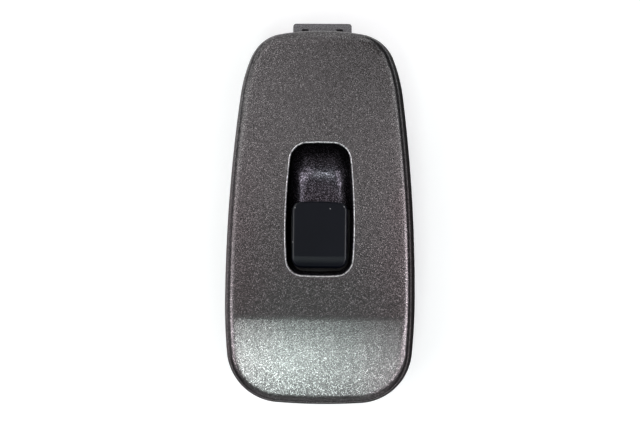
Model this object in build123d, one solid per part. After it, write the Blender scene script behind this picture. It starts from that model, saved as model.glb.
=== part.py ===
from build123d import *
import math
import os

# A power window switch: a moulded door-trim panel with a finger well, and a rocker switch
# screwed under it.  X is right, Y is forward (towards the locating tongue) and Z is up.
# The origin is the centre of the panel's rim, on the plane where the rim lies on the door.
# Lengths are millimetres and angles are degrees.

PAST = 1.0  # how far a cutting body runs on past the face it cuts

# ---------------------------------------------------------------- panel
PANEL_WIDTH = 61.0
PANEL_FRONT = 60.0  # rim tip ahead of the origin
PANEL_REAR = 60.0  # rim tip behind the origin
PANEL_WIDEST = -27.0  # where along Y the rim is widest
PANEL_FRONT_TURNS = (10.0, 58.0, 14.5, 7.5)  # nose, corner, shoulder, flank
PANEL_FRONT_RADII = (12.8, 50.0)  # corner, shoulder
PANEL_REAR_TURNS = (4.1, 80.3, 5.6)  # tail, corner, flank
PANEL_REAR_RADII = (17.4,)  # corner

FACE_HEIGHT = 10.0  # flat top face above the rim
SIDE_DRAFT = 8.0
EDGE_ROUND = 2.4
SKIN = 2.2
SKIRT_WALL = 2.0
NOSE_ROLL_LENGTH = 6.0  # the front of the top face rolls down over this length
NOSE_ROLL_RADIUS = 15.0
NOSE_ROLL_TURN = 35.0
RAMP_LENGTH = 28.0  # sloping rear part of the top face
CREASE_RADIUS = 12.0  # bend between the flat face and the ramp
CREASE_TURN = 5.0
RAMP_RADIUS = 280.0  # gentle crown of the ramp itself
RAMP_TURN = 8.0

RIB_THICK = 1.2
RIB_DEPTH = 4.5
RIB_OFFSET = 10.5  # lengthwise ribs, each side of the centre line
CROSS_RIBS = (41.0, -31.0, -47.0)
RIB_LAP = 5.0  # lengthwise ribs run on under the well's ends

# ---------------------------------------------------------------- knob
KNOB_WIDTH = 17.6
KNOB_AHEAD = 11.5  # pivot to front lip
KNOB_BEHIND = 10.0  # pivot to rear face
KNOB_SINK = 0.5  # knob top below the panel's face
KNOB_WALL = 1.5
KNOB_CORNER = 3.4
KNOB_EDGE = 0.7
EDGE_STEPS = 3  # flats that make up the round of the knob's edge
LIP_DEPTH = 5.1
LIP_RAKE = 1.4  # the front face leans back this far going down
REAR_CURVE_LENGTH = 3.9
REAR_CURVE_DROP = 4.6
SKIRT_DEPTH = 7.4
SKIRT_AHEAD = 1.0  # bearing ear to the front of the skirt's foot
PIVOT_Y = -6.5
PIVOT_ABOVE_CASE = 4.0
KNOB_SWING = 8.0
TRUNNION_RADIUS = 1.8
BEARING_GAP = 0.05
EAR_WALL = 1.2
STEM_THICK = 6.0
STEM_REACH = 8.0  # pivot to the foot of the stem

# ---------------------------------------------------------------- finger well
SIDE_GAP = 2.2  # knob side to the well's opening
REAR_GAP = 2.5
SCOOP_LENGTH = 18.4  # knob's front lip to the well's front tip
WELL_WIDEST = -4.0
WELL_FRONT_TURNS = (2.8, 81.0, 6.2)
WELL_FRONT_CORNER = 5.9
WELL_REAR_TURNS = (3.5, 82.1, 4.4)
WELL_REAR_CORNER = 5.4
WELL_COLLAR = 0.9  # upright band below the opening's edge
WELL_EDGE_BREAK = 0.4
WELL_DEPTH = 10.0
FLOOR_HALF_WIDTH = 4.9  # flat floor of the scoop
FLOOR_TIP = 6.5  # flat floor ahead of the knob's lip
SIDE_SWEEP_RADIUS = 4.3
FRONT_SWEEP_RADIUS = 10.0
FLOOR_CORNER = 3.0
SCOOP_LEVELS = (0.0, 0.03, 0.11, 0.24, 0.42, 0.68, 1.0)  # sections, as shares of the depth
CUP_WALL = 1.6
CUP_LEVELS = (0.0, 0.12, 0.4, 1.0)
LIP_OVERHANG = 2.3  # knob lip ahead of the pocket's front wall
POCKET_GAP = 0.7  # knob side to the pocket's wall at its foot

# ---------------------------------------------------------------- locating tongue
TONGUE_WIDTH = 19.0
TONGUE_REACH = 2.8  # beyond the rim's front tip
TONGUE_THICK = 2.0
TONGUE_DROP = 2.6  # rim plane to the tongue's top
TONGUE_WEB_BACK = 7.0  # rim tip to the front of the tongue's web
TONGUE_WEB_THICK = 2.0
TONGUE_SLOT_WIDTH = 2.1
TONGUE_SLOT_SPACING = 11.2
TONGUE_SLOT_END = 1.8  # tongue's edge to the slot's end
TONGUE_SLOT_DEPTH = 1.4
GUSSET_LENGTH = 5.0  # behind the tongue's web

# ---------------------------------------------------------------- screws and clips
BOSS_RADIUS = 3.0
SCREW_RADIUS = 1.1
PILOT_GAP = 0.05
EAR_HOLE_GAP = 0.35
SCREW_HEAD_RADIUS = 2.5
SCREW_HEAD_HEIGHT = 1.7
SCREW_LENGTH = 8.5
PILOT_EXTRA = 1.0  # pilot hole beyond the screw's end
SIDE_BOSS_OUT = 3.5  # case side to a side boss's axis
SIDE_BOSS_Y = 2.0
REAR_BOSS_OUT = 5.0  # case rear to the rear boss's axis
SEAT_GAP = 0.2  # underside of the cup to the case's top

CLIP_FRONT_Y = 24.0
CLIP_REAR_Y = -39.0
CLIP_INSET = 8.5  # rim's edge to a clip tower's middle
TOWER_THICK = 2.0
TOWER_WIDTH = 7.0
TOWER_DEPTH = 11.0  # tower below the rim plane
TOWER_WEB = 2.0  # web out from each face of a tower
TOWER_WEB_FOOT = 0.5  # above the rim plane
CLIP_SHEET = 0.5
CLIP_WIDTH = 6.0
CLIP_GAP = 0.05
CLIP_BULGE = 2.2
CLIP_HEIGHT = 9.5
CLIP_BOW_RISE = 5.9  # clip's foot to its widest point
CLIP_TIP_OUT = 0.5  # front leg's upper end, out from the tower's face

# ---------------------------------------------------------------- switch case and base
CASE_WIDTH = 24.0
CASE_AHEAD = 13.0  # pivot to the case's front
CASE_BEHIND = 13.0
CASE_WALL = 1.6
CASE_CORNER = 1.5
CASE_HEIGHT = 12.9
CHIMNEY_WALL = 1.2
CHIMNEY_GAP = 0.3  # chimney to the knob's cheek
CHIMNEY_RISE = 2.4  # pivot to the chimney's top
STEM_GAP = 0.5
EAR_THICK = 1.6
BARRIER_THICK = 1.0
SNAP_WIDTH = 3.4
SNAP_HEIGHT = 1.0
SNAP_OUT = 0.9
SNAP_GAP = 0.15
SNAP_ROOT = 0.5  # barb's root sunk in the deck
SNAP_RISE = 0.4  # case's lower edge to the barbs
SNAP_OFFSETS = (8.0, -7.5)  # along Y from the pivot
BASE_FIT = 0.1
BASE_HEIGHT = 9.5  # below the case
BASE_WALL = 1.6
CORE_COLUMNS = 3
CORE_END = 2.0  # solid block kept behind the sockets' back wall

SOCKET_LENGTH = 14.0
SOCKET_BACK = 2.0
SOCKET_STEP = 0.3  # case's lower edge down to the socket's top
SOCKET_WALL = 1.4
SOCKET_CORNER = 0.8
LATCH_WIDTH = 6.0
LATCH_MOUTH = 1.3  # socket's mouth to the latch window
LATCH_BACK = 4.0  # socket's mouth to the window's far end
KEY_WIDTH = 1.2
KEY_HEIGHT = 1.0
KEY_OFFSET = 5.7
KEY_SINK = 0.2  # key's foot sunk in the socket's floor
KEY_END = 1.0  # socket's mouth to the keys' ends

# ---------------------------------------------------------------- contacts
PLUNGER_SPACING = 5.4
PLUNGER_RADIUS = 1.45
PLUNGER_GAP = 0.05
PLUNGER_REACH = 11.7  # pivot to the tip of the nose
PLUNGER_TOP = 4.7  # pivot down to the plunger's top
NOSE_RADIUS = 1.0
NOSE_LENGTH = 2.4
NOSE_GAP = 0.12
BORE_TOP = 1.3  # pivot up to the end of the plunger's bore
SPRING_RADIUS = 1.3
SPRING_WIRE = 0.36
SPRING_TURNS = 6
SPRING_SIDES = 6

ROCKER_WIDTH = 3.6
ROCKER_SHEET = 0.5
ROCKER_ARM = 9.5
ROCKER_WING = 2.3
WING_SLOPE = 11.0
ROCKER_RATIO = 0.75
KNUCKLE_DROP = 0.8  # valley of the rocker down to the knuckle's axis
KNUCKLE_RADIUS = 0.6
CRADLE_HEIGHT = 1.9  # knuckle's axis above the terminal plates
CRADLE_WIDTH = 2.6
CRADLE_LENGTH = 2.8

CONTACT_OUT = 8.4  # rocker's pivot to its contacts
CONTACT_SIZE = 2.0
CONTACT_HEIGHT = 0.6
FIXED_CONTACT_SIZE = 2.4
OPEN_GAP = 0.08  # left between contacts at full swing

TERMINAL_SHEET = 0.6
TRACK_WIDTH = 1.4
PAD_WIDTH = 3.0
LANE_GAP = 0.56  # pad's edge to the track that passes it
TAB_PITCH = 3.8
TAB_WIDTH = 2.3
TAB_LENGTH = 6.0
TAB_TAPER = 0.5
RISER_BACK = 2.4  # case front to the risers' middle

# ---------------------------------------------------------------- places worked out
FLOOR_Z = FACE_HEIGHT - WELL_DEPTH
CUP_Z = FLOOR_Z - CUP_WALL
CASE_TOP = CUP_Z - SEAT_GAP
CASE_BOTTOM = CASE_TOP - CASE_HEIGHT
CASE_FRONT = PIVOT_Y + CASE_AHEAD
CASE_REAR = PIVOT_Y - CASE_BEHIND
PIVOT_Z = CASE_TOP + PIVOT_ABOVE_CASE
KNOB_TOP = FACE_HEIGHT - KNOB_SINK
KNOB_FRONT = PIVOT_Y + KNOB_AHEAD
KNOB_REAR = PIVOT_Y - KNOB_BEHIND
WELL_FRONT = KNOB_FRONT + SCOOP_LENGTH
WELL_REAR = KNOB_REAR - REAR_GAP
WELL_HALF_WIDTH = KNOB_WIDTH / 2 + SIDE_GAP
POCKET_FRONT = KNOB_FRONT - LIP_OVERHANG
CHIMNEY_HALF = KNOB_WIDTH / 2 - KNOB_WALL - CHIMNEY_GAP
STEM_HALF = CHIMNEY_HALF - CHIMNEY_WALL - STEM_GAP
CHIMNEY_FOOT = PIVOT_ABOVE_CASE + CASE_WALL  # pivot down to the chimney's lower end
STEM_SWAY = CHIMNEY_FOOT * math.sin(math.radians(KNOB_SWING))
CHIMNEY_INNER = STEM_THICK / 2 + STEM_SWAY + STEM_GAP  # half length
PLUNGER_X = PLUNGER_SPACING / 2
VALLEY_Z = PIVOT_Z - PLUNGER_REACH - NOSE_GAP
ARM_Z = VALLEY_Z + ROCKER_WING * math.tan(math.radians(WING_SLOPE))
KNUCKLE_Z = VALLEY_Z - KNUCKLE_DROP
PLATE_Z = KNUCKLE_Z - CRADLE_HEIGHT  # top of the terminal plates
DECK_Z = PLATE_Z - TERMINAL_SHEET  # the base's deck, under the plates
BASE_BOTTOM = CASE_BOTTOM - BASE_HEIGHT
SOCKET_TOP = CASE_BOTTOM - SOCKET_STEP
TAB_Z = (BASE_BOTTOM + SOCKET_TOP) / 2
RISER_Y = CASE_FRONT - RISER_BACK
SIDES = {"left": -1, "right": 1}


# ---------------------------------------------------------------- shared outlines
def quarter_arcs(half_width, reach, turns, inner_radii):
    """Tangent arcs from the tip (0, reach), heading +X, to (half_width, 0), heading -Y.

    The first and the last radius are solved so that the chain ends where it should.
    """
    headings = [0.0]
    for turn in turns:
        headings.append(headings[-1] + math.radians(turn))
    pairs = list(zip(headings, headings[1:]))
    across = [math.sin(b) - math.sin(a) for a, b in pairs]
    down = [math.cos(a) - math.cos(b) for a, b in pairs]
    rest_x = half_width - sum(r * x for r, x in zip(inner_radii, across[1:-1]))
    rest_y = reach - sum(r * y for r, y in zip(inner_radii, down[1:-1]))
    span = across[0] * down[-1] - across[-1] * down[0]
    first = (rest_x * down[-1] - rest_y * across[-1]) / span
    last = (rest_y * across[0] - rest_x * down[0]) / span
    arcs = []
    point, heading = Vector(0, reach), Vector(1, 0)
    for radius, turn in zip((first, *inner_radii, last), turns):
        arc = JernArc(point, heading, radius, -turn)
        point, heading = arc @ 1, arc % 1
        arcs.append(arc)
    return arcs


def oval(half_width, front, rear, widest, front_arcs, rear_arcs, z=0.0):
    """A face bounded by tangent arcs, alike left and right, tipped at y = front and rear."""
    ahead = quarter_arcs(half_width, front - widest, *front_arcs)
    behind = quarter_arcs(half_width, widest - rear, *rear_arcs)
    right = [*ahead, *(arc.mirror(Plane.XZ) for arc in reversed(behind))]
    left = [arc.mirror(Plane.YZ) for arc in reversed(right)]
    return Pos(0, widest, z) * Face(Wire([*right, *left]))


def panel_outline(inset, z):
    """The panel's outline, moved inwards by inset, at height z."""
    front_radii = tuple(radius - inset for radius in PANEL_FRONT_RADII)
    rear_radii = tuple(radius - inset for radius in PANEL_REAR_RADII)
    return oval(
        PANEL_WIDTH / 2 - inset,
        PANEL_FRONT - inset,
        -PANEL_REAR + inset,
        PANEL_WIDEST,
        (PANEL_FRONT_TURNS, front_radii),
        (PANEL_REAR_TURNS, rear_radii),
        z,
    )


def well_outline(inset, z):
    """The finger well's opening, moved inwards by inset, at height z."""
    return oval(
        WELL_HALF_WIDTH - inset,
        WELL_FRONT - inset,
        WELL_REAR + inset,
        WELL_WIDEST,
        (WELL_FRONT_TURNS, (WELL_FRONT_CORNER - inset,)),
        (WELL_REAR_TURNS, (WELL_REAR_CORNER - inset,)),
        z,
    )


def face_within(*curves):
    """A flat face bounded by curves given in any order."""
    return Face(Wire([edge for curve in curves for edge in curve.edges()]))


def plate(x0, x1, y0, y1, z0, z1):
    """A box between two corners."""
    centre = Pos((x0 + x1) / 2, (y0 + y1) / 2, (z0 + z1) / 2)
    return centre * Box(abs(x1 - x0), abs(y1 - y0), abs(z1 - z0))


def block(x, y, half_x, half_y, low, high):
    """A box centred on (x, y), given by its half sizes, from z = low to z = high."""
    return plate(x - half_x, x + half_x, y - half_y, y + half_y, low, high)


def post(x, y, low, radius, height):
    """A cylinder standing on z = low."""
    return Pos(x, y, low) * Cylinder(radius, height, align=(Align.CENTER, Align.CENTER, Align.MIN))


# ---------------------------------------------------------------- panel
def face_profile(lower):
    """Solid below the top face's side profile, lowered by lower, wider than the panel."""
    top = FACE_HEIGHT - lower
    floor = -2 * TOWER_DEPTH
    roll = JernArc((PANEL_FRONT - NOSE_ROLL_LENGTH, top), (1, 0), NOSE_ROLL_RADIUS - lower, -NOSE_ROLL_TURN)
    crease = JernArc((RAMP_LENGTH - PANEL_REAR, top), (-1, 0), CREASE_RADIUS - lower, CREASE_TURN)
    ramp = JernArc(crease @ 1, crease % 1, RAMP_RADIUS - lower, RAMP_TURN)
    flat = Line(roll @ 0, crease @ 0)
    front_foot = ((roll @ 1).X, floor)
    rear_foot = ((ramp @ 1).X, floor)
    sides = Polyline(roll @ 1, front_foot, rear_foot, ramp @ 1)
    section = Plane.YZ * face_within(roll, sides, ramp, crease, flat)
    return extrude(section, amount=PANEL_WIDTH, both=True)


def panel_body(inset, lower, bottom):
    """The panel's outer form, moved inwards by inset and lowered by lower."""
    lean = math.tan(math.radians(SIDE_DRAFT))
    foot = panel_outline(inset + bottom * lean, bottom)
    ceiling = FACE_HEIGHT + PAST
    head = panel_outline(inset + ceiling * lean, ceiling)
    return loft([foot, head], ruled=True) & face_profile(lower)


def sweep_run(height, radius, slope):
    """How far a wall has moved out at a height above its floor: a quarter round, then a slope."""
    arc_top = radius * (1 - math.cos(math.radians(slope)))
    if height <= arc_top:
        return math.sqrt(2 * radius * height - height**2)
    return radius * math.sin(math.radians(slope)) + (height - arc_top) / math.tan(math.radians(slope))


def wall_slope(run, depth, radius):
    """Slope at which a round of this radius and a straight wall cover run over depth."""
    low, high = 20.0, 89.9
    for _ in range(50):
        middle = (low + high) / 2
        if sweep_run(depth, radius, middle) > run:
            low = middle
        else:
            high = middle
    return (low + high) / 2


def scoop(grow, levels):
    """The bowl in front of the knob, moved outwards by grow, with a section at each level."""
    depth = WELL_DEPTH - WELL_COLLAR + grow
    top_z = FACE_HEIGHT - WELL_COLLAR
    front_floor = KNOB_FRONT + FLOOR_TIP
    side_radius = SIDE_SWEEP_RADIUS + grow
    front_radius = FRONT_SWEEP_RADIUS + grow
    side_slope = wall_slope(WELL_HALF_WIDTH + grow - FLOOR_HALF_WIDTH, depth, side_radius)
    front_slope = wall_slope(WELL_FRONT + grow - front_floor, depth, front_radius)
    sections = []
    for level in levels:
        height = level * depth
        side_run = sweep_run(height, side_radius, side_slope)
        front_run = sweep_run(height, front_radius, front_slope)
        half_width = FLOOR_HALF_WIDTH + side_run
        blend = side_run / (WELL_HALF_WIDTH + grow - FLOOR_HALF_WIDTH)
        front_corner = FLOOR_CORNER + blend * (WELL_FRONT_CORNER + grow - FLOOR_CORNER)
        rear_corner = FLOOR_CORNER + blend * (WELL_REAR_CORNER + grow - FLOOR_CORNER)
        sections.append(
            oval(
                half_width,
                front_floor + front_run,
                WELL_REAR - grow + WELL_HALF_WIDTH + grow - half_width,
                WELL_WIDEST,
                (WELL_FRONT_TURNS, (front_corner,)),
                (WELL_REAR_TURNS, (rear_corner,)),
                top_z - depth + height,
            )
        )
    ahead = plate(-PANEL_WIDTH, PANEL_WIDTH, POCKET_FRONT - CUP_WALL, PANEL_FRONT, CUP_Z, FACE_HEIGHT)
    return loft(sections, ruled=True) & ahead


def pocket(grow):
    """The shaft round the knob, behind the scoop, moved outwards by grow."""
    head = well_outline(-grow, FACE_HEIGHT - WELL_COLLAR)
    foot = well_outline(SIDE_GAP - POCKET_GAP - grow, CUP_Z)
    shaft = loft([foot, head], ruled=True)
    front = POCKET_FRONT + grow
    keep = plate(-PANEL_WIDTH, PANEL_WIDTH, WELL_REAR - PANEL_REAR, front, CUP_Z, FACE_HEIGHT)
    return shaft & keep


def boss_places():
    """Axes of the three screws, in the plane of the case's ears."""
    side = CASE_WIDTH / 2 + SIDE_BOSS_OUT
    return [(-side, SIDE_BOSS_Y), (side, SIDE_BOSS_Y), (0.0, CASE_REAR - REAR_BOSS_OUT)]


def half_width_at(y):
    """Half width of the rim at y, from its outline."""
    ray = Edge.make_line((0, y), (PANEL_WIDTH, y))
    crossing = panel_outline(0, 0).outer_wire().intersect(ray)
    return max(point.X for point in (crossing.vertices() if hasattr(crossing, "vertices") else crossing))


def clip_places():
    """Middle of each clip tower, by corner name."""
    places = {}
    for end, y in (("front", CLIP_FRONT_Y), ("rear", CLIP_REAR_Y)):
        for side, sign in SIDES.items():
            places[f"{end}_{side}"] = (sign * (half_width_at(y) - CLIP_INSET), y)
    return places


def tongue():
    """The locating tongue that hooks under the door trim, on its web and two gussets."""
    web_front = PANEL_FRONT - TONGUE_WEB_BACK
    web_back = web_front - TONGUE_WEB_THICK
    top = -TONGUE_DROP
    low = top - TONGUE_THICK
    tip = PANEL_FRONT + TONGUE_REACH
    half = TONGUE_WIDTH / 2
    head = FACE_HEIGHT - SKIN / 2
    hook = plate(-half, half, web_back, tip, low, top)
    hook += plate(-half, half, web_back, web_front, low, head)
    slot_y = (web_front + tip - TONGUE_SLOT_END) / 2
    slot_half = tip - TONGUE_SLOT_END - slot_y
    for sign in SIDES.values():
        slot_x = sign * TONGUE_SLOT_SPACING / 2
        hook -= block(slot_x, slot_y, TONGUE_SLOT_WIDTH / 2, slot_half, top - TONGUE_SLOT_DEPTH, top)
        gusset = (sign * (half - RIB_THICK), sign * half, web_back - GUSSET_LENGTH, web_back)
        hook += plate(*gusset, top, head)
    outer = hook.edges().filter_by(Axis.Z).group_by(Axis.Y)[-1]
    return fillet(outer, TONGUE_THICK / 2)


def underside_features():
    """Ribs, screw bosses, clip towers and the cup's walls, before they are trimmed."""
    head = FACE_HEIGHT - SKIN / 2
    half = RIB_THICK / 2
    rib_foot = FACE_HEIGHT - SKIN - RIB_DEPTH
    web_back = PANEL_FRONT - TONGUE_WEB_BACK - TONGUE_WEB_THICK
    body = Part()
    for sign in SIDES.values():
        x = sign * RIB_OFFSET
        body += plate(x - half, x + half, WELL_FRONT - RIB_LAP, web_back, rib_foot, head)
        body += plate(x - half, x + half, -PANEL_REAR, WELL_REAR + RIB_LAP, rib_foot, head)
    for y in CROSS_RIBS:
        body += plate(-PANEL_WIDTH, PANEL_WIDTH, y - half, y + half, rib_foot, head)
    for x, y in boss_places():
        body += post(x, y, CASE_TOP, BOSS_RADIUS, head - CASE_TOP)
    for x, y in clip_places().values():
        body += block(x, y, TOWER_THICK / 2, TOWER_WIDTH / 2, -TOWER_DEPTH, head)
        body += block(x, y, TOWER_THICK / 2 + TOWER_WEB, half, TOWER_WEB_FOOT, head)
    return body + tongue()


def trim_panel():
    """One moulding: drafted skirt, top face, finger well, bosses, towers, ribs and tongue."""
    outer = soften(panel_body(0.0, 0.0, 0.0), panel_edges, EDGE_ROUND, 90 - SIDE_DRAFT)
    shell = outer - panel_body(SKIRT_WALL, SKIN, -PAST)
    core = panel_body(SKIRT_WALL / 2, SKIN / 2, -TOWER_DEPTH - PAST)
    features = underside_features()
    below = plate(-PANEL_WIDTH, PANEL_WIDTH, -PANEL_REAR, 2 * PANEL_FRONT, -2 * TOWER_DEPTH, 0)
    shell += features & (core + below)
    shell += scoop(CUP_WALL, CUP_LEVELS) + pocket(CUP_WALL)
    shell -= scoop(0.0, SCOOP_LEVELS)
    shell -= pocket(0.0)
    opening = well_outline(0.0, FACE_HEIGHT - WELL_COLLAR)
    shell -= extrude(opening, amount=2 * WELL_COLLAR, dir=(0, 0, 1))
    shell = chamfer(well_rim(shell), WELL_EDGE_BREAK)
    for x, y in boss_places():
        shell -= post(x, y, CASE_TOP, SCREW_RADIUS + PILOT_GAP, SCREW_LENGTH - EAR_THICK + PILOT_EXTRA)
    return shell


def runs_round(edge):
    """True for an edge that runs round a body, and false for a seam up its side."""
    along = (edge @ 1) - (edge @ 0)
    return abs(along.Z) < math.hypot(along.X, along.Y)


def panel_edges(body):
    """Edges round the panel's top face, above the skirt."""
    return [edge for edge in body.edges() if edge.center().Z > EDGE_ROUND and runs_round(edge)]


def soften(body, pick, radius, turn):
    """Ease the picked edges with three flats that touch a round of this radius and turn."""
    half = math.radians(turn) / 2
    for part in (half, half / 2):
        body = chamfer(pick(body), radius * (math.tan(part) - math.tan(part / 2)))
    return body


def well_rim(shell):
    """Edges where the well's collar meets the top face."""
    in_face = shell.edges().group_by(Axis.Z)[-1]
    across = in_face.filter_by_position(Axis.X, -WELL_HALF_WIDTH - PAST, WELL_HALF_WIDTH + PAST)
    return across.filter_by_position(Axis.Y, WELL_REAR - PAST, WELL_FRONT + PAST)


# ---------------------------------------------------------------- knob and its mechanism
def knob_side():
    """Side outline of the cap: raked lip, flat top and a rear face that rolls down."""
    skirt_z = KNOB_TOP - SKIRT_DEPTH
    ear = TRUNNION_RADIUS + BEARING_GAP + EAR_WALL
    top_front = (KNOB_FRONT, KNOB_TOP)
    lip_foot = (KNOB_FRONT - LIP_RAKE, KNOB_TOP - LIP_DEPTH)
    skirt_front = (PIVOT_Y + ear + SKIRT_AHEAD, skirt_z)
    skirt_rear = (KNOB_REAR + KNOB_WALL, skirt_z)
    rear_foot = (KNOB_REAR, KNOB_TOP - REAR_CURVE_DROP)
    rear_top = (KNOB_REAR + REAR_CURVE_LENGTH, KNOB_TOP)
    straight = Polyline(rear_top, top_front, lip_foot, skirt_front, skirt_rear, rear_foot)
    return face_within(straight, TangentArc(rear_top, rear_foot, tangent=(-1, 0)))


def knob_hollow():
    """Side outline of the space inside the cap, open below."""
    below = KNOB_TOP - SKIRT_DEPTH - PAST
    ceiling = KNOB_TOP - KNOB_WALL
    front = KNOB_FRONT - LIP_RAKE - KNOB_WALL
    rear = KNOB_REAR + KNOB_WALL
    rear_top = (KNOB_REAR + REAR_CURVE_LENGTH, ceiling)
    rear_foot = (rear, KNOB_TOP - REAR_CURVE_DROP)
    outline = Polyline(rear_top, (front, ceiling), (front, below), (rear, below), rear_foot, close=True)
    return face_within(outline)


def across_x(section, half_width):
    """A section drawn in Y and Z, extruded evenly to both sides of the centre plane."""
    return extrude(Plane.YZ * section, amount=half_width, both=True)


def x_cylinder(radius, x0, x1, y, z):
    """A cylinder along X from x0 to x1."""
    return Pos((x0 + x1) / 2, y, z) * Rot(0, 90, 0) * Cylinder(radius, abs(x1 - x0))


def knob():
    """Hollow finger cap with bearing ears and the stem that holds the plungers."""
    half = KNOB_WIDTH / 2
    length = KNOB_AHEAD + KNOB_BEHIND
    middle_y = (KNOB_FRONT + KNOB_REAR) / 2
    sections = [Pos(0, middle_y, KNOB_TOP - SKIRT_DEPTH) * RectangleRounded(KNOB_WIDTH, length, KNOB_CORNER)]
    for step in range(EDGE_STEPS + 1):
        angle = math.pi / 2 * step / EDGE_STEPS
        inset = KNOB_EDGE * (1 - math.cos(angle))
        level = KNOB_TOP - KNOB_EDGE * (1 - math.sin(angle))
        plan = RectangleRounded(KNOB_WIDTH - 2 * inset, length - 2 * inset, KNOB_CORNER - inset)
        sections.append(Pos(0, middle_y, level) * plan)
    cap = across_x(knob_side(), half) & loft(sections, ruled=True)
    cap -= across_x(knob_hollow(), half - KNOB_WALL)
    ear = TRUNNION_RADIUS + BEARING_GAP + EAR_WALL
    for sign in SIDES.values():
        inner, outer = sign * CHIMNEY_HALF, sign * (half + PAST)
        cap += x_cylinder(ear, sign * (half - KNOB_WALL), sign * half, PIVOT_Y, PIVOT_Z)
        cap -= x_cylinder(TRUNNION_RADIUS + BEARING_GAP, inner, outer, PIVOT_Y, PIVOT_Z)
    foot = PIVOT_Z - STEM_REACH
    back, front = PIVOT_Y - STEM_THICK / 2, PIVOT_Y + STEM_THICK / 2
    stem = plate(-STEM_HALF, STEM_HALF, back, front, foot, KNOB_TOP - KNOB_WALL / 2)
    for sign in SIDES.values():
        stem -= post(sign * PLUNGER_X, PIVOT_Y, foot, PLUNGER_RADIUS + PLUNGER_GAP, STEM_REACH + BORE_TOP)
    return cap + stem


def plunger(x):
    """A turned pin: guided barrel, tapered neck and a round nose."""
    top = PIVOT_Z - PLUNGER_TOP
    tip = PIVOT_Z - PLUNGER_REACH
    neck = tip + NOSE_LENGTH
    shoulder = neck + PLUNGER_RADIUS - NOSE_RADIUS
    centre = tip + NOSE_RADIUS
    crown = NOSE_RADIUS * math.sqrt(0.5)
    side = Polyline(
        (0, top), (PLUNGER_RADIUS, top), (PLUNGER_RADIUS, shoulder),
        (NOSE_RADIUS, neck), (NOSE_RADIUS, centre), (crown, centre - crown), (0, tip),
        close=True,
    )
    half_section = Plane.XZ * face_within(side)
    return Pos(x, PIVOT_Y, 0) * revolve(half_section, Axis.Z)


def plunger_spring(x):
    """A coil of square wire between the plunger and the end of its bore."""
    low = PIVOT_Z - PLUNGER_TOP + SPRING_WIRE / 2
    high = PIVOT_Z + BORE_TOP - SPRING_WIRE / 2
    radius = SPRING_RADIUS - SPRING_WIRE / 2
    steps = SPRING_TURNS * SPRING_SIDES
    points = []
    for step in range(steps + 1):
        angle = 2 * math.pi * step / SPRING_SIDES
        lift = low + (high - low) * step / steps
        points.append((radius * math.cos(angle), radius * math.sin(angle), lift))
    path = Polyline(*points)
    start = Plane(origin=path @ 0, z_dir=path % 0)
    wire = sweep(start * Rectangle(SPRING_WIRE, SPRING_WIRE), path=path, transition=Transition.RIGHT)
    return Pos(x, PIVOT_Y, 0) * wire


def contact_rocker(x):
    """A folded strip that rocks on its knuckle under the plunger's nose."""
    sheet = ROCKER_SHEET
    front_arm = [(ROCKER_WING, ARM_Z), (ROCKER_ARM, ARM_Z)]
    top = [(-ROCKER_ARM, ARM_Z), (-ROCKER_WING, ARM_Z), (0, VALLEY_Z), *front_arm]
    under = [(y, z - sheet) for y, z in reversed(top)]
    section = Pos(PIVOT_Y, 0) * face_within(Polyline(*top, *under, close=True))
    strip = across_x(section, ROCKER_WIDTH / 2)
    strip += x_cylinder(KNUCKLE_RADIUS, -ROCKER_WIDTH / 2, ROCKER_WIDTH / 2, PIVOT_Y, KNUCKLE_Z)
    return Pos(x, 0, 0) * strip


def contact_tip(size, x, end, low, high):
    """A square silver tip at one end of a rocker, or on the pad below it."""
    y = PIVOT_Y + end * CONTACT_OUT
    return block(x, y, size / 2, size / 2, low, high)


def rocker_contacts(x):
    """The two silver contacts welded under the arms of one contact rocker."""
    high = ARM_Z - ROCKER_SHEET
    low = high - CONTACT_HEIGHT
    return Compound([contact_tip(CONTACT_SIZE, x, end, low, high) for end in (-1, 1)])


def fixed_contact(x, end):
    """A silver contact on a terminal's pad, just under a rocker's contact at full swing."""
    tilt = math.radians(KNOB_SWING * ROCKER_RATIO)
    lift = ARM_Z - ROCKER_SHEET - CONTACT_HEIGHT - KNUCKLE_Z
    reach = CONTACT_OUT + CONTACT_SIZE / 2
    top = KNUCKLE_Z + lift * math.cos(tilt) - reach * math.sin(tilt) - OPEN_GAP
    return contact_tip(FIXED_CONTACT_SIZE, x, end, PLATE_Z, top)


# ---------------------------------------------------------------- terminals
def track(points, width):
    """A flat strip that lies on the base's deck and follows points along X and Y."""
    strip = Part()
    for (x0, y0), (x1, y1) in zip(points, points[1:]):
        left, right = min(x0, x1) - width / 2, max(x0, x1) + width / 2
        back, front = min(y0, y1) - width / 2, max(y0, y1) + width / 2
        strip += plate(left, right, back, front, DECK_Z, PLATE_Z)
    return strip


def pad(x, end):
    """The part of a terminal that carries a fixed contact."""
    return block(x, PIVOT_Y + end * CONTACT_OUT, PAD_WIDTH / 2, PAD_WIDTH / 2, DECK_Z, PLATE_Z)


def tab(x):
    """A riser down through the base and the blade that stands in the connector socket."""
    half, sheet = TAB_WIDTH / 2, TERMINAL_SHEET
    tip = CASE_FRONT + SOCKET_BACK + TAB_LENGTH
    riser = block(x, RISER_Y, half, sheet / 2, TAB_Z - sheet / 2, PLATE_Z)
    blade = plate(x - half, x + half, RISER_Y - sheet / 2, tip, TAB_Z - sheet / 2, TAB_Z + sheet / 2)
    corners = blade.edges().filter_by(Axis.Z).group_by(Axis.Y)[-1]
    return riser + chamfer(corners, TAB_TAPER)


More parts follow.
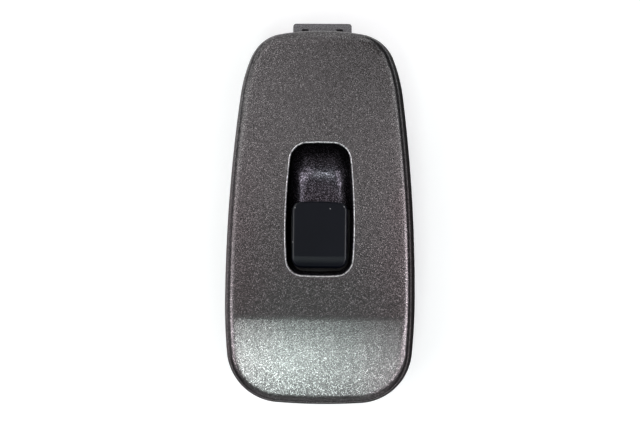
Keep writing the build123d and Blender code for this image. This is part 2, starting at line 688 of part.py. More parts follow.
def cradle(x):
    """An upstand with a half-round groove for a rocker's knuckle."""
    upstand = block(x, PIVOT_Y, CRADLE_WIDTH / 2, CRADLE_LENGTH / 2, DECK_Z, KNUCKLE_Z)
    groove = x_cylinder(KNUCKLE_RADIUS + BEARING_GAP, x - CRADLE_WIDTH, x + CRADLE_WIDTH, PIVOT_Y, KNUCKLE_Z)
    return upstand - groove


def motor_terminal(side):
    """Cradle of one rocker with its track out and forward to a tab."""
    sign = SIDES[side]
    x = sign * PLUNGER_X
    if side == "left":
        tab_x, lane = -TAB_PITCH, -(PLUNGER_X + PAD_WIDTH / 2 + LANE_GAP + TRACK_WIDTH / 2)
    else:
        tab_x, lane = 2 * TAB_PITCH, 2 * TAB_PITCH
    points = [(x, PIVOT_Y), (lane, PIVOT_Y), (lane, RISER_Y), (tab_x, RISER_Y)]
    route = track(points[:3], TRACK_WIDTH) + track(points[2:], TERMINAL_SHEET)
    return route + cradle(x) + tab(tab_x)


def supply_terminal():
    """One strip between the rockers, with pads at the front left and the rear right."""
    front_y = PIVOT_Y + CONTACT_OUT
    rear_y = PIVOT_Y - CONTACT_OUT
    strip = track([(0, rear_y), (0, RISER_Y)], TRACK_WIDTH)
    strip += track([(-PLUNGER_X, front_y), (0, front_y)], TRACK_WIDTH)
    strip += track([(0, rear_y), (PLUNGER_X, rear_y)], TRACK_WIDTH)
    return strip + pad(-PLUNGER_X, 1) + pad(PLUNGER_X, -1) + tab(0)


def ground_terminal(end):
    """A pad under one end of a rocker: front right or rear left, with its own tab."""
    y = PIVOT_Y + end * CONTACT_OUT
    x, tab_x = (PLUNGER_X, TAB_PITCH) if end > 0 else (-PLUNGER_X, -2 * TAB_PITCH)
    points = [(x, y), (tab_x, y), (tab_x, RISER_Y)]
    return track(points, TRACK_WIDTH) + pad(x, end) + tab(tab_x)


# ---------------------------------------------------------------- case and base
def rounded_block(half_width, rear, front, low, high, corner):
    """A block with rounded upright corners."""
    plan = Pos(0, (rear + front) / 2, low) * RectangleRounded(2 * half_width, front - rear, corner)
    return extrude(plan, amount=high - low)


def screw_ear(x, y):
    """A round ear at (x, y) with a bridge back to the case's side, or to its rear if x is 0."""
    low = CASE_TOP - EAR_THICK
    if x:
        inner = math.copysign(CASE_WIDTH / 2 - CASE_CORNER, x)
        bridge = plate(inner, x, y - BOSS_RADIUS, y + BOSS_RADIUS, low, CASE_TOP)
    else:
        bridge = plate(-BOSS_RADIUS, BOSS_RADIUS, y, CASE_REAR + CASE_CORNER, low, CASE_TOP)
    return bridge + post(x, y, low, BOSS_RADIUS, EAR_THICK)


def switch_case():
    """Upper housing: top plate, chimney with trunnions, screw ears and snap windows."""
    half = CASE_WIDTH / 2
    case = rounded_block(half, CASE_REAR, CASE_FRONT, CASE_BOTTOM, CASE_TOP, CASE_CORNER)
    for x, y in boss_places():
        case += screw_ear(x, y)
    top = PIVOT_Z + CHIMNEY_RISE
    outer = CHIMNEY_INNER + CHIMNEY_WALL
    case += block(0, PIVOT_Y, CHIMNEY_HALF, outer, CASE_TOP - CASE_WALL, top)
    case -= rounded_block(
        half - CASE_WALL, CASE_REAR + CASE_WALL, CASE_FRONT - CASE_WALL, CASE_BOTTOM, CASE_TOP - CASE_WALL,
        CASE_CORNER / 2,
    )
    inner_x = CHIMNEY_HALF - CHIMNEY_WALL
    pin_end = KNOB_WIDTH / 2 - CHIMNEY_GAP
    case -= block(0, PIVOT_Y, inner_x, CHIMNEY_INNER, CASE_TOP - CASE_WALL - PAST, top)
    for sign in SIDES.values():
        case += x_cylinder(TRUNNION_RADIUS, sign * inner_x, sign * pin_end, PIVOT_Y, PIVOT_Z)
    for x, y in boss_places():
        case -= Pos(x, y, CASE_TOP) * Cylinder(SCREW_RADIUS + EAR_HOLE_GAP, 4 * EAR_THICK)
    barrier_foot = ARM_Z - ROCKER_SHEET
    for y0, y1 in (
        (CASE_REAR + CASE_WALL / 2, PIVOT_Y - CHIMNEY_INNER - CHIMNEY_WALL),
        (PIVOT_Y + CHIMNEY_INNER + CHIMNEY_WALL, CASE_FRONT - CASE_WALL / 2),
    ):
        case += plate(-BARRIER_THICK / 2, BARRIER_THICK / 2, y0, y1, barrier_foot, CASE_TOP - CASE_WALL / 2)
    low = CASE_BOTTOM + SNAP_RISE - SNAP_GAP
    window = (CASE_WALL / 2 + PAST, SNAP_WIDTH / 2 + SNAP_GAP, low, low + SNAP_HEIGHT + 2 * SNAP_GAP)
    for sign in SIDES.values():
        for offset in SNAP_OFFSETS:
            case -= block(sign * (half - CASE_WALL / 2), PIVOT_Y + offset, *window)
    return case


def snap_barb(sign, y):
    """A wedge on the base's deck that springs into a window of the case."""
    wall = CASE_WIDTH / 2 - CASE_WALL - BASE_FIT
    low = CASE_BOTTOM + SNAP_RISE
    root = wall - SNAP_ROOT
    profile = Polyline(
        (root, low), (wall + SNAP_OUT, low), (wall + SNAP_OUT, low + SNAP_HEIGHT / 3),
        (wall, low + SNAP_HEIGHT), (root, low + SNAP_HEIGHT), close=True,
    )
    wedge = extrude(Plane.XZ * face_within(profile), amount=SNAP_WIDTH / 2, both=True)
    if sign < 0:
        wedge = mirror(wedge, about=Plane.YZ)
    return Pos(0, y, 0) * wedge


def switch_base(terminals):
    """Lower housing: deck, cored block and connector socket, moulded round the terminals."""
    half = CASE_WIDTH / 2
    base = rounded_block(half, CASE_REAR, CASE_FRONT, BASE_BOTTOM, CASE_BOTTOM, CASE_CORNER)
    inset = CASE_WALL + BASE_FIT
    base += rounded_block(
        half - inset, CASE_REAR + inset, CASE_FRONT - inset, CASE_BOTTOM - PAST, DECK_Z, CASE_CORNER / 2
    )
    for sign in SIDES.values():
        for offset in SNAP_OFFSETS:
            base += snap_barb(sign, PIVOT_Y + offset)
    back = CASE_FRONT + SOCKET_BACK
    mouth = CASE_FRONT + SOCKET_LENGTH
    root = CASE_FRONT - 2 * CASE_CORNER
    base += rounded_block(half, root, mouth, BASE_BOTTOM, SOCKET_TOP, SOCKET_CORNER)
    room = half - SOCKET_WALL
    base -= plate(-room, room, back, mouth + PAST, BASE_BOTTOM + SOCKET_WALL, SOCKET_TOP - SOCKET_WALL)
    latch = (-LATCH_WIDTH / 2, LATCH_WIDTH / 2, mouth - LATCH_BACK, mouth - LATCH_MOUTH)
    base -= plate(*latch, SOCKET_TOP - SOCKET_WALL - PAST, SOCKET_TOP + PAST)
    for x in (-KEY_OFFSET, KEY_OFFSET + KEY_WIDTH):
        key_z = BASE_BOTTOM + SOCKET_WALL
        key = (x - KEY_WIDTH / 2, x + KEY_WIDTH / 2, back, mouth - KEY_END)
        base += plate(*key, key_z - KEY_SINK, key_z + KEY_HEIGHT)
    core_rear = CASE_REAR + BASE_WALL
    core_front = RISER_Y - TERMINAL_SHEET / 2 - CORE_END
    core_top = CASE_BOTTOM - BASE_WALL
    pitch = (CASE_WIDTH - BASE_WALL) / CORE_COLUMNS
    for column in range(CORE_COLUMNS):
        left = -half + BASE_WALL + column * pitch
        base -= plate(left, left + pitch - BASE_WALL, core_rear, core_front, BASE_BOTTOM, core_top)
    for terminal in terminals:
        base -= terminal
    return base


def mounting_screws():
    """Three hexagon-head screws, driven up through the case's ears into the panel's bosses."""
    seat = CASE_TOP - EAR_THICK
    head = extrude(Pos(0, 0, seat) * RegularPolygon(SCREW_HEAD_RADIUS, 6), amount=-SCREW_HEAD_HEIGHT)
    screw = head + post(0, 0, seat, SCREW_RADIUS, SCREW_LENGTH)
    return Compound([Pos(x, y, 0) * screw for x, y in boss_places()])


def panel_clip(x, y):
    """A folded spring-steel clip: a back leg, a turn under the tower and a bowed front leg."""
    half = TOWER_THICK / 2 + CLIP_GAP
    foot = -TOWER_DEPTH - CLIP_GAP
    head = -TOWER_DEPTH + CLIP_HEIGHT
    bow = (half + CLIP_BULGE, foot + CLIP_BOW_RISE)
    path = Polyline((-half, head), (-half, foot), (half, foot), bow, (half + CLIP_TIP_OUT, head))
    sheet = make_face(offset(path, amount=CLIP_SHEET, side=Side.LEFT))
    clip = extrude(Plane.XZ * sheet, amount=CLIP_WIDTH / 2, both=True)
    if x < 0:
        clip = mirror(clip, about=Plane.YZ)
    return Pos(x, y, 0) * clip


# ---------------------------------------------------------------- the whole switch
def all_parts():
    """Every piece by its name."""
    parts = {"trim_panel": trim_panel(), "knob": knob(), "switch_case": switch_case()}
    terminals = {
        "motor_terminal_left": motor_terminal("left"),
        "motor_terminal_right": motor_terminal("right"),
        "supply_terminal": supply_terminal(),
        "ground_terminal_front": ground_terminal(1),
        "ground_terminal_rear": ground_terminal(-1),
    }
    parts["switch_base"] = switch_base(terminals.values())
    parts.update(terminals)
    parts["supply_contacts"] = Compound([fixed_contact(-PLUNGER_X, 1), fixed_contact(PLUNGER_X, -1)])
    parts["ground_contact_front"] = fixed_contact(PLUNGER_X, 1)
    parts["ground_contact_rear"] = fixed_contact(-PLUNGER_X, -1)
    for side, sign in SIDES.items():
        x = sign * PLUNGER_X
        parts[f"plunger_{side}"] = plunger(x)
        parts[f"plunger_spring_{side}"] = plunger_spring(x)
        parts[f"contact_rocker_{side}"] = contact_rocker(x)
        parts[f"rocker_contacts_{side}"] = rocker_contacts(x)
    parts["mounting_screws"] = mounting_screws()
    for corner, (x, y) in clip_places().items():
        parts[f"panel_clip_{corner}"] = panel_clip(x, y)
    return parts


os.makedirs("parts", exist_ok=True)
for name, shape in all_parts().items():
    export_step(shape, f"parts/{name}.step")
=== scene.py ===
import math

import bmesh
import bpy
import numpy as np
from mathutils import Matrix, Vector
from mathutils.geometry import delaunay_2d_cdt


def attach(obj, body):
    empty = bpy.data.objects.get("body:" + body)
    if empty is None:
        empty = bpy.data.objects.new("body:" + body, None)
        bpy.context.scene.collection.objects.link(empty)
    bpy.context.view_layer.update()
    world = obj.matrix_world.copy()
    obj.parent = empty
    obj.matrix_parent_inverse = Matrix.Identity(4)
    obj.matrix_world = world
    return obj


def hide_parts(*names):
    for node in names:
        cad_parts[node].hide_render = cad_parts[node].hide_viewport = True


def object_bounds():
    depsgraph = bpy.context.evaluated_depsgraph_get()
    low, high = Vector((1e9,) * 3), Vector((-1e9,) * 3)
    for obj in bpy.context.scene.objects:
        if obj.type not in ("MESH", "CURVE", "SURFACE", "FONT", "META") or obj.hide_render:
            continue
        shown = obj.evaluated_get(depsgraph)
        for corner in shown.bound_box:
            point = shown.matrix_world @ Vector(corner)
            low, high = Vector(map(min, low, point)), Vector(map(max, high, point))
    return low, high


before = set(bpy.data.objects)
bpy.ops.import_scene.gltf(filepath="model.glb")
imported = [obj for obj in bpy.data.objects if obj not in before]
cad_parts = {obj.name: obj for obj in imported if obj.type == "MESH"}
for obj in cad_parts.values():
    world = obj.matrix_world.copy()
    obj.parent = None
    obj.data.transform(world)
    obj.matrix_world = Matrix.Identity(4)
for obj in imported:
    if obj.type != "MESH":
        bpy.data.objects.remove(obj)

FIRST_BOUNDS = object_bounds()
MM = 0.001  # sizes below are millimetres, as in the part's source

# Sizes of the panel, as in the part's source.
PANEL_WIDTH, PANEL_FRONT, PANEL_REAR, PANEL_WIDEST = 61.0, 60.0, 60.0, -27.0
PANEL_FRONT_TURNS, PANEL_FRONT_RADII = (10.0, 58.0, 14.5, 7.5), (12.8, 50.0)
PANEL_REAR_TURNS, PANEL_REAR_RADII = (4.1, 80.3, 5.6), (17.4,)
FACE_HEIGHT = 10.0
LEAN = math.tan(math.radians(8.0))
EDGE_TIGHT, EDGE_SOFT, EDGE_SOFT_TURN = 1.9, 8.4, math.radians(14.0)
NOSE_ROLL_LENGTH, NOSE_ROLL_RADIUS = 6.0, 15.0
RAMP_LENGTH, CREASE_RADIUS, CREASE_TURN, RAMP_RADIUS = 29.3, 28.0, math.radians(5.0), 280.0

# Sizes of the finger well.
WELL_HALF_WIDTH, WELL_FRONT, WELL_REAR, WELL_WIDEST = 11.0, 23.4, -19.0, -4.0
WELL_FRONT_TURNS, WELL_FRONT_CORNER = (2.8, 81.0, 6.2), 5.9
WELL_REAR_TURNS, WELL_REAR_CORNER = (3.5, 82.1, 4.4), 5.4
WELL_DEPTH, WELL_COLLAR, RIM_ROUND, RIM_LIP = 10.0, 0.9, 0.45, 0.35
POCKET_FRONT = 2.7
CAD_FLOOR_HALF_WIDTH, CAD_SWEEP_RADIUS = 4.9, 4.3  # the moulding's bowl, which the painted one covers
FLOOR_HALF_WIDTH, FLOOR_FRONT, FLOOR_CORNER = 5.1, 10.3, 5.0
SIDE_SWEEP_RADIUS, FRONT_SWEEP_RADIUS = 5.4, 14.5

# Sizes of the knob.
KNOB_WIDTH, KNOB_FRONT, KNOB_REAR, KNOB_TOP = 17.6, 5.0, -16.5, 9.5
KNOB_CORNER, KNOB_EDGE = 3.4, 0.85
LIP_DEPTH, LIP_RAKE = 5.1, 1.4
REAR_CURVE_LENGTH = 3.9
ROLL_SLOPES = ((0.0, 8.0), (0.8, 11.0), (2.0, 18.0), (3.0, 30.0), (3.6, 50.0), (3.9, 78.0))  # run, degrees
CROWN_RADIUS = 38.0  # the lip bulges forward a little across the knob

# How finely the skins are divided.
PANEL_FRONT_COUNTS, PANEL_REAR_COUNTS = (10, 30, 10, 24), (10, 36, 16)
WELL_COUNTS = (8, 26, 12)
WALL_SHARES = (0.0, 0.3, 0.6, 0.85)  # rows of the side wall, below the rounded edge
EDGE_STEPS, EDGE_SAMPLES, INSET_PASSES = 16, 400, 12
GUARD_WIDTH = 0.3  # row of the top face inside the rounded edge
RIM_STEPS, RIM_BAND = 5, 0.25
NOSE_GAP, FLAT_GAP, RAMP_GAP, COLUMN_GAP = 0.6, 4.0, 1.6, 2.0  # between inner points of the top face
CREASE_LINES, CREASE_MARGIN = 6, 0.5
RAMP_START_GAP, FACE_MARGIN = 2.0, 0.7
BOWL_STEPS, BOWL_CROWDING = 30, 1.7
KNOB_CUTS, KNOB_CROWDING, KNOB_PROBE = 44, 0.62, 0.02
SLOPE_HALVINGS, KNOB_HALVINGS = 60, 44

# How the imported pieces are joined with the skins.
OUTER_DEPTH = 1.0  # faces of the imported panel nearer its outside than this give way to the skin
RIM_PLANE, LOOKS_DOWN = -0.01, -0.5  # lowest face that gives way, and normals that look down
TONGUE_TOP, SLOT_DEPTH, SLOT_REAR, SLOT_END = -2.6, 1.4, 53.0, 61.0
SLOT_INNER, SLOT_OUTER, SLOT_SLACK = 4.0, 7.0, 0.1
PAINT_REACH = -1.7  # how far down the well the paint goes
KNOB_SEAM, KNOB_SHELL = 4.6, 0.35
KNOB_HEART = 4.0  # height inside the cap from which its skin is projected


# ---------------------------------------------------------------- outlines
def quarter(half_width, reach, turns, inner_radii, counts):
    """Points and outward normals along tangent arcs from (0, reach) round to (half_width, 0)."""
    heads = np.concatenate([[0.0], np.cumsum(np.radians(turns))])
    across = np.sin(heads[1:]) - np.sin(heads[:-1])
    down = np.cos(heads[:-1]) - np.cos(heads[1:])
    inner = np.array(inner_radii)
    rest_x = half_width - (inner * across[1:-1]).sum()
    rest_y = reach - (inner * down[1:-1]).sum()
    span = across[0] * down[-1] - across[-1] * down[0]
    first = (rest_x * down[-1] - rest_y * across[-1]) / span
    last = (rest_y * across[0] - rest_x * down[0]) / span
    points, normals = [], []
    corner = np.array([0.0, reach])
    for radius, start, end, count in zip([first, *inner_radii, last], heads[:-1], heads[1:], counts):
        for step in range(count):
            head = start + (end - start) * step / count
            offset = (math.sin(head) - math.sin(start), -(math.cos(start) - math.cos(head)))
            points.append(corner + radius * np.array(offset))
            normals.append((math.sin(head), math.cos(head)))
        corner = corner + radius * np.array(
            [math.sin(end) - math.sin(start), -(math.cos(start) - math.cos(end))]
        )
    points.append(np.array([half_width, 0.0]))
    normals.append((1.0, 0.0))
    return np.array(points), np.array(normals)


def oval(half_width, front, rear, widest, front_arcs, rear_arcs):
    """A closed ring of points and outward normals, clockwise from the front tip."""
    ahead, ahead_n = quarter(half_width, front - widest, *front_arcs)
    behind, behind_n = quarter(half_width, widest - rear, *rear_arcs)
    flip = np.array([1.0, -1.0])
    right = np.vstack([ahead, (behind * flip)[::-1][1:]])
    right_n = np.vstack([ahead_n, (behind_n * flip)[::-1][1:]])
    turn = np.array([-1.0, 1.0])
    ring = np.vstack([right, (right * turn)[::-1][1:-1]]) + np.array([0.0, widest])
    ring_n = np.vstack([right_n, (right_n * turn)[::-1][1:-1]])
    return ring, ring_n


def panel_ring():
    """The panel's rim."""
    return oval(
        PANEL_WIDTH / 2, PANEL_FRONT, -PANEL_REAR, PANEL_WIDEST,
        (PANEL_FRONT_TURNS, PANEL_FRONT_RADII, PANEL_FRONT_COUNTS),
        (PANEL_REAR_TURNS, PANEL_REAR_RADII, PANEL_REAR_COUNTS),
    )


def well_ring():
    """The opening of the finger well."""
    return oval(
        WELL_HALF_WIDTH, WELL_FRONT, WELL_REAR, WELL_WIDEST,
        (WELL_FRONT_TURNS, (WELL_FRONT_CORNER,), WELL_COUNTS),
        (WELL_REAR_TURNS, (WELL_REAR_CORNER,), WELL_COUNTS),
    )


def at_height(ring, height):
    """A flat ring with one third coordinate, for points and for normals."""
    return np.hstack([ring, np.full((len(ring), 1), height)])


# ---------------------------------------------------------------- the panel's top face
NOSE_START = PANEL_FRONT - NOSE_ROLL_LENGTH
CREASE_START = RAMP_LENGTH - PANEL_REAR
CREASE_END = CREASE_START - CREASE_RADIUS * math.sin(CREASE_TURN)
CREASE_FOOT = FACE_HEIGHT - CREASE_RADIUS * (1 - math.cos(CREASE_TURN))
RAMP_CENTRE_Y = CREASE_END + RAMP_RADIUS * math.sin(CREASE_TURN)
RAMP_CENTRE_Z = CREASE_FOOT - RAMP_RADIUS * math.cos(CREASE_TURN)


def face_at(y):
    """Height and slope of the top face at y."""
    if y > NOSE_START:
        run = y - NOSE_START
        drop = math.sqrt(NOSE_ROLL_RADIUS**2 - run**2)
        return FACE_HEIGHT - NOSE_ROLL_RADIUS + drop, -run / drop
    if y >= CREASE_START:
        return FACE_HEIGHT, 0.0
    if y >= CREASE_END:
        run = y - CREASE_START
        drop = math.sqrt(CREASE_RADIUS**2 - run**2)
        return FACE_HEIGHT - CREASE_RADIUS + drop, -run / drop
    run = y - RAMP_CENTRE_Y
    drop = math.sqrt(RAMP_RADIUS**2 - run**2)
    return RAMP_CENTRE_Z + drop, -run / drop


def skin_section(point, normal):
    """Rows of the side wall and the rounded edge at one place, then a guard row on the top face.

    The edge is gentle where it leaves the top face and tight where it meets the wall.
    """
    inset = EDGE_TIGHT
    for _ in range(INSET_PASSES):
        y = point[1] - normal[1] * inset
        height, slope = face_at(y)
        inset = LEAN * height
    wall = np.array([LEAN, 1.0]) / math.hypot(LEAN, 1.0)
    run = -slope * normal[1]
    top = np.array([1.0, run]) / math.hypot(1.0, run)
    turn = math.acos(float(wall @ top))
    first = math.atan2(wall[1], wall[0])
    turned = np.linspace(0.0, turn, EDGE_SAMPLES)
    radius = EDGE_TIGHT + (EDGE_SOFT - EDGE_TIGHT) * np.exp(-(((turn - turned) / EDGE_SOFT_TURN) ** 2))
    heads = first - turned
    pace = radius[:, None] * np.column_stack([np.cos(heads), np.sin(heads)])
    moves = (pace[1:] + pace[:-1]) / 2 * (turned[1] - turned[0])
    path = np.vstack([[0.0, 0.0], np.cumsum(moves, axis=0)])
    along_wall, along_top = np.linalg.solve(np.column_stack([wall, top]), path[-1])
    start = np.array([inset, height]) - along_wall * wall
    length = np.concatenate([[0.0], np.cumsum(np.linalg.norm(np.diff(path, axis=0), axis=1))])
    rows = [start * share for share in WALL_SHARES]
    for step in range(EDGE_STEPS + 1):
        at = length[-1] * step / EDGE_STEPS
        rows.append(start + [np.interp(at, length, path[:, 0]), np.interp(at, length, path[:, 1])])
    end = rows[-1]
    true_height = face_at(point[1] - normal[1] * end[0])[0]
    for step in range(EDGE_STEPS + 1):
        rise = (true_height - end[1]) * (step / EDGE_STEPS) ** 2
        rows[len(WALL_SHARES) + step] = rows[len(WALL_SHARES) + step] + np.array([0.0, rise])
    guard = end[0] + GUARD_WIDTH
    rows.append(np.array([guard, face_at(point[1] - normal[1] * guard)[0]]))
    return rows


def grid_normals(grid, closed=True):
    """Normals of a grid of rows by rings, from central differences."""
    around = np.roll(grid, -1, axis=1) - np.roll(grid, 1, axis=1) if closed else np.gradient(grid, axis=1)
    along = np.gradient(grid, axis=0)
    normals = np.cross(along, around)
    return normals / np.linalg.norm(normals, axis=2, keepdims=True)


PAINT, RIM_HIGHLIGHT, RAW, SHADE, WELL_SHADED = range(5)  # the panel's looks; the rim's is a painted highlight, the slots' and the well's are painted shade


class Skin:
    """Collects vertices with their normals, and faces, for one mesh."""

    def __init__(self):
        self.points, self.normals, self.faces, self.looks = [], [], [], []

    def add(self, points, normals):
        first = len(self.points)
        self.points.extend(tuple(p) for p in points)
        self.normals.extend(tuple(n) for n in normals)
        return list(range(first, len(self.points)))

    def add_face(self, corners, look):
        self.faces.append(tuple(corners))
        self.looks.append(look)

    def add_grid(self, grid, normals, look):
        """Quads between rows of closed rings."""
        count = grid.shape[1]
        index = [self.add(row, row_n) for row, row_n in zip(grid, normals)]
        for low, high in zip(index, index[1:]):
            for a in range(count):
                b = (a + 1) % count
                self.add_face((low[b], low[a], high[a], high[b]), look)
        return index

    def mesh(self, name):
        mesh = bpy.data.meshes.new(name)
        mesh.from_pydata([Vector(p) * MM for p in self.points], [], self.faces)
        mesh.polygons.foreach_set("use_smooth", [True] * len(mesh.polygons))
        mesh.polygons.foreach_set("material_index", self.looks)
        mesh.normals_split_custom_set_from_vertices(self.normals)
        return mesh


def inside(ring, x, y):
    """Whether a point is inside a closed ring."""
    x0, y0 = ring[:, 0], ring[:, 1]
    x1, y1 = np.roll(x0, -1), np.roll(y0, -1)
    spans = (y0 > y) != (y1 > y)
    with np.errstate(divide="ignore", invalid="ignore"):
        cross = x < (x1 - x0) * (y - y0) / (y1 - y0) + x0
    return bool((spans & cross).sum() % 2)


def ring_distance(ring, x, y):
    """Distance from a point to the nearest corner of a ring."""
    return float(np.hypot(ring[:, 0] - x, ring[:, 1] - y).min())


def face_normal(y):
    """Outward normal of the top face at y."""
    slope = face_at(y)[1]
    length = math.hypot(slope, 1.0)
    return (0.0, -slope / length, 1.0 / length)


def panel_skin():
    """The painted outside of the panel: walls, rounded edge, top face and the well's rim."""
    skin = Skin()
    ring, normals = panel_ring()
    sections = [skin_section(p, n) for p, n in zip(ring, normals)]
    rows = []
    for level in range(len(sections[0])):
        inset = np.array([s[level][0] for s in sections])[:, None]
        height = np.array([s[level][1] for s in sections])[:, None]
        rows.append(np.hstack([ring - normals * inset, height]))
    grid = np.array(rows)
    grid_n = grid_normals(grid)
    for level in (-1, -2):
        grid_n[level] = [face_normal(y) for y in grid[level][:, 1]]
    outer = skin.add_grid(grid, grid_n, PAINT)[-1]
    rim, rim_ring = add_rim(skin)
    add_top_face(skin, grid[-1][:, :2], outer, rim_ring, rim)
    return skin


def add_rim(skin):
    """The rounded rim of the well, whose band gets a light metal look as a painted highlight; returns its
    outermost ring on the top face.
    """
    full_hole, hole_n = well_ring()
    hole = full_hole - hole_n * RIM_LIP
    rows, normals = [], []
    for expand in (RIM_ROUND + RIM_BAND, RIM_ROUND):
        rows.append(at_height(hole + hole_n * expand, FACE_HEIGHT))
        normals.append(np.tile((0.0, 0.0, 1.0), (len(hole), 1)))
    for step in range(1, RIM_STEPS + 1):
        angle = math.pi / 2 * step / RIM_STEPS
        out = RIM_ROUND * (1 - math.sin(angle))
        drop = RIM_ROUND * (1 - math.cos(angle))
        rows.append(at_height(hole + hole_n * out, FACE_HEIGHT - drop))
        normals.append(at_height(-hole_n * math.sin(angle), math.cos(angle)))
    rows.append(at_height(hole, FACE_HEIGHT - WELL_COLLAR))
    normals.append(at_height(-hole_n, 0.0))
    rim = skin.add_grid(np.array(rows[:2]), np.array(normals[:2]), PAINT)[0]
    skin.add_grid(np.array(rows[1:-1]), np.array(normals[1:-1]), RIM_HIGHLIGHT)
    skin.add_grid(np.array(rows[-2:]), np.array(normals[-2:]), WELL_SHADED)
    ledge = np.array([rows[-1], at_height(full_hole, FACE_HEIGHT - WELL_COLLAR)])
    skin.add_grid(ledge, np.tile((0.0, 0.0, -1.0), (2, len(hole), 1)), WELL_SHADED)
    return rim, rows[0][:, :2]


def face_points(outer_ring, inner_ring):
    """Inner points of the top face, closer together where it curves."""
    crease = np.linspace(CREASE_START, CREASE_END, CREASE_LINES)
    lines = [
        *np.arange(NOSE_START, PANEL_FRONT, NOSE_GAP),
        *np.arange(CREASE_START + FLAT_GAP, NOSE_START, FLAT_GAP),
        CREASE_START + CREASE_MARGIN, *crease, CREASE_END - CREASE_MARGIN,
        *np.arange(CREASE_END - RAMP_START_GAP, -PANEL_REAR, -RAMP_GAP),
    ]
    reach = COLUMN_GAP * math.floor(PANEL_WIDTH / 2 / COLUMN_GAP)
    columns = np.arange(-reach, reach + 0.1, COLUMN_GAP)
    points = []
    for y in lines:
        for x in columns:
            if not inside(outer_ring, x, y) or inside(inner_ring, x, y):
                continue
            if min(ring_distance(outer_ring, x, y), ring_distance(inner_ring, x, y)) > FACE_MARGIN:
                points.append((x, y))
    return points


def add_top_face(skin, outer_ring, outer, inner_ring, inner):
    """Triangles between the rounded edge and the well's rim, whose vertices are known."""
    extra = face_points(outer_ring, inner_ring)
    flat = [Vector(p) for p in [*outer_ring, *inner_ring, *extra]]
    count, hole_count = len(outer_ring), len(inner_ring)
    edges = [(i, (i + 1) % count) for i in range(count)]
    edges += [(count + i, count + (i + 1) % hole_count) for i in range(hole_count)]
    made, _, triangles, origins, _, _ = delaunay_2d_cdt(flat, edges, [], 0, 1e-5)
    known = outer + inner + skin.add(
        [(x, y, face_at(y)[0]) for x, y in extra], [face_normal(y) for x, y in extra]
    )
    for triangle in triangles:
        middle = sum((made[i] for i in triangle), Vector((0, 0))) / 3
        if inside(outer_ring, *middle) and not inside(inner_ring, *middle):
            face = [known[origins[i][0]] for i in triangle]
            a, b, c = (Vector(skin.points[i]) for i in face)
            if (b - a).cross(c - a).z < 0:
                face.reverse()
            skin.add_face(face, PAINT)


# ---------------------------------------------------------------- the bowl in front of the knob
def sweep_run(height, radius, slope):
    """How far out a sweep has come at a height: an arc from flat, then a straight slope."""
    arc_top = radius * (1 - math.cos(slope))
    if height <= arc_top:
        return math.sqrt(max(2 * radius * height - height**2, 0.0))
    return radius * math.sin(slope) + (height - arc_top) / math.tan(slope)


def wall_slope(run, depth, radius):
    """The slope with which a sweep comes out by a run over a depth."""
    low, high = math.radians(20.0), math.radians(89.9)
    for _ in range(SLOPE_HALVINGS):
        middle = (low + high) / 2
        if sweep_run(depth, radius, middle) > run:
            low = middle
        else:
            high = middle
    return (low + high) / 2


def bowl_skin():
    """The smooth bowl: a flat floor that sweeps up into the sides and the front."""
    skin = Skin()
    depth = WELL_DEPTH - WELL_COLLAR
    side_slope = wall_slope(WELL_HALF_WIDTH - FLOOR_HALF_WIDTH, depth, SIDE_SWEEP_RADIUS)
    front_slope = wall_slope(WELL_FRONT - FLOOR_FRONT, depth, FRONT_SWEEP_RADIUS)
    rows = []
    for step in range(BOWL_STEPS + 1):
        height = (step / BOWL_STEPS) ** BOWL_CROWDING * depth
        side_run = sweep_run(height, SIDE_SWEEP_RADIUS, side_slope)
        front_run = sweep_run(height, FRONT_SWEEP_RADIUS, front_slope)
        half_width = FLOOR_HALF_WIDTH + side_run
        blend = side_run / (WELL_HALF_WIDTH - FLOOR_HALF_WIDTH)
        ring, _ = oval(
            half_width, FLOOR_FRONT + front_run, WELL_REAR + WELL_HALF_WIDTH - half_width, WELL_WIDEST,
            (WELL_FRONT_TURNS, (FLOOR_CORNER + blend * (WELL_FRONT_CORNER - FLOOR_CORNER),), WELL_COUNTS),
            (WELL_REAR_TURNS, (FLOOR_CORNER + blend * (WELL_REAR_CORNER - FLOOR_CORNER),), WELL_COUNTS),
        )
        rows.append(at_height(ring, height))
    grid = np.array(rows[::-1])
    normals = grid_normals(grid)
    normals[-1] = (0.0, 0.0, 1.0)
    floor = skin.add_grid(grid, normals, WELL_SHADED)[-1]
    count = len(floor)
    half = count // 2
    for step in range(half):
        a, b = floor[step], floor[step + 1]
        c, d = floor[(count - step - 1) % count], floor[(count - step) % count]
        corners = [i for n, i in enumerate((a, b, c, d)) if i not in (a, b, c, d)[:n]]
        if len(corners) > 2:
            skin.add_face(corners[::-1], WELL_SHADED)
    mesh = skin.mesh("bowl")
    cut_mesh(mesh, (0, POCKET_FRONT * MM, 0), (0, -1, 0))
    return mesh, bowl_end(mesh, depth)


def bowl_end(bowl, depth):
    """The strip between the bowl's cut edge and the moulding's own bowl below it."""
    slope = wall_slope(WELL_HALF_WIDTH - CAD_FLOOR_HALF_WIDTH, depth, CAD_SWEEP_RADIUS)
    heights = np.linspace(0.0, depth, 200)
    runs = [CAD_FLOOR_HALF_WIDTH + sweep_run(h, CAD_SWEEP_RADIUS, slope) for h in heights]
    cut = sorted({
        (v.co.x / MM, v.co.z / MM) for v in bowl.vertices if abs(v.co.y / MM - POCKET_FRONT) < 1e-4
    })
    skin = Skin()
    back = [(0.0, -1.0, 0.0)] * len(cut)
    high = skin.add([(x, POCKET_FRONT, z) for x, z in cut], back)
    low = skin.add(
        [(x, POCKET_FRONT, min(z, np.interp(abs(x), runs, heights, left=0.0))) for x, z in cut], back
    )
    for a in range(len(cut) - 1):
        if cut[a][1] > 1e-3 or cut[a + 1][1] > 1e-3:
            skin.add_face((low[a], low[a + 1], high[a + 1], high[a]), WELL_SHADED)
    return skin.mesh("bowl_end")


def corner_normals(mesh):
    normals = np.zeros(len(mesh.loops) * 3, np.float32)
    mesh.corner_normals.foreach_get("vector", normals)
    return normals


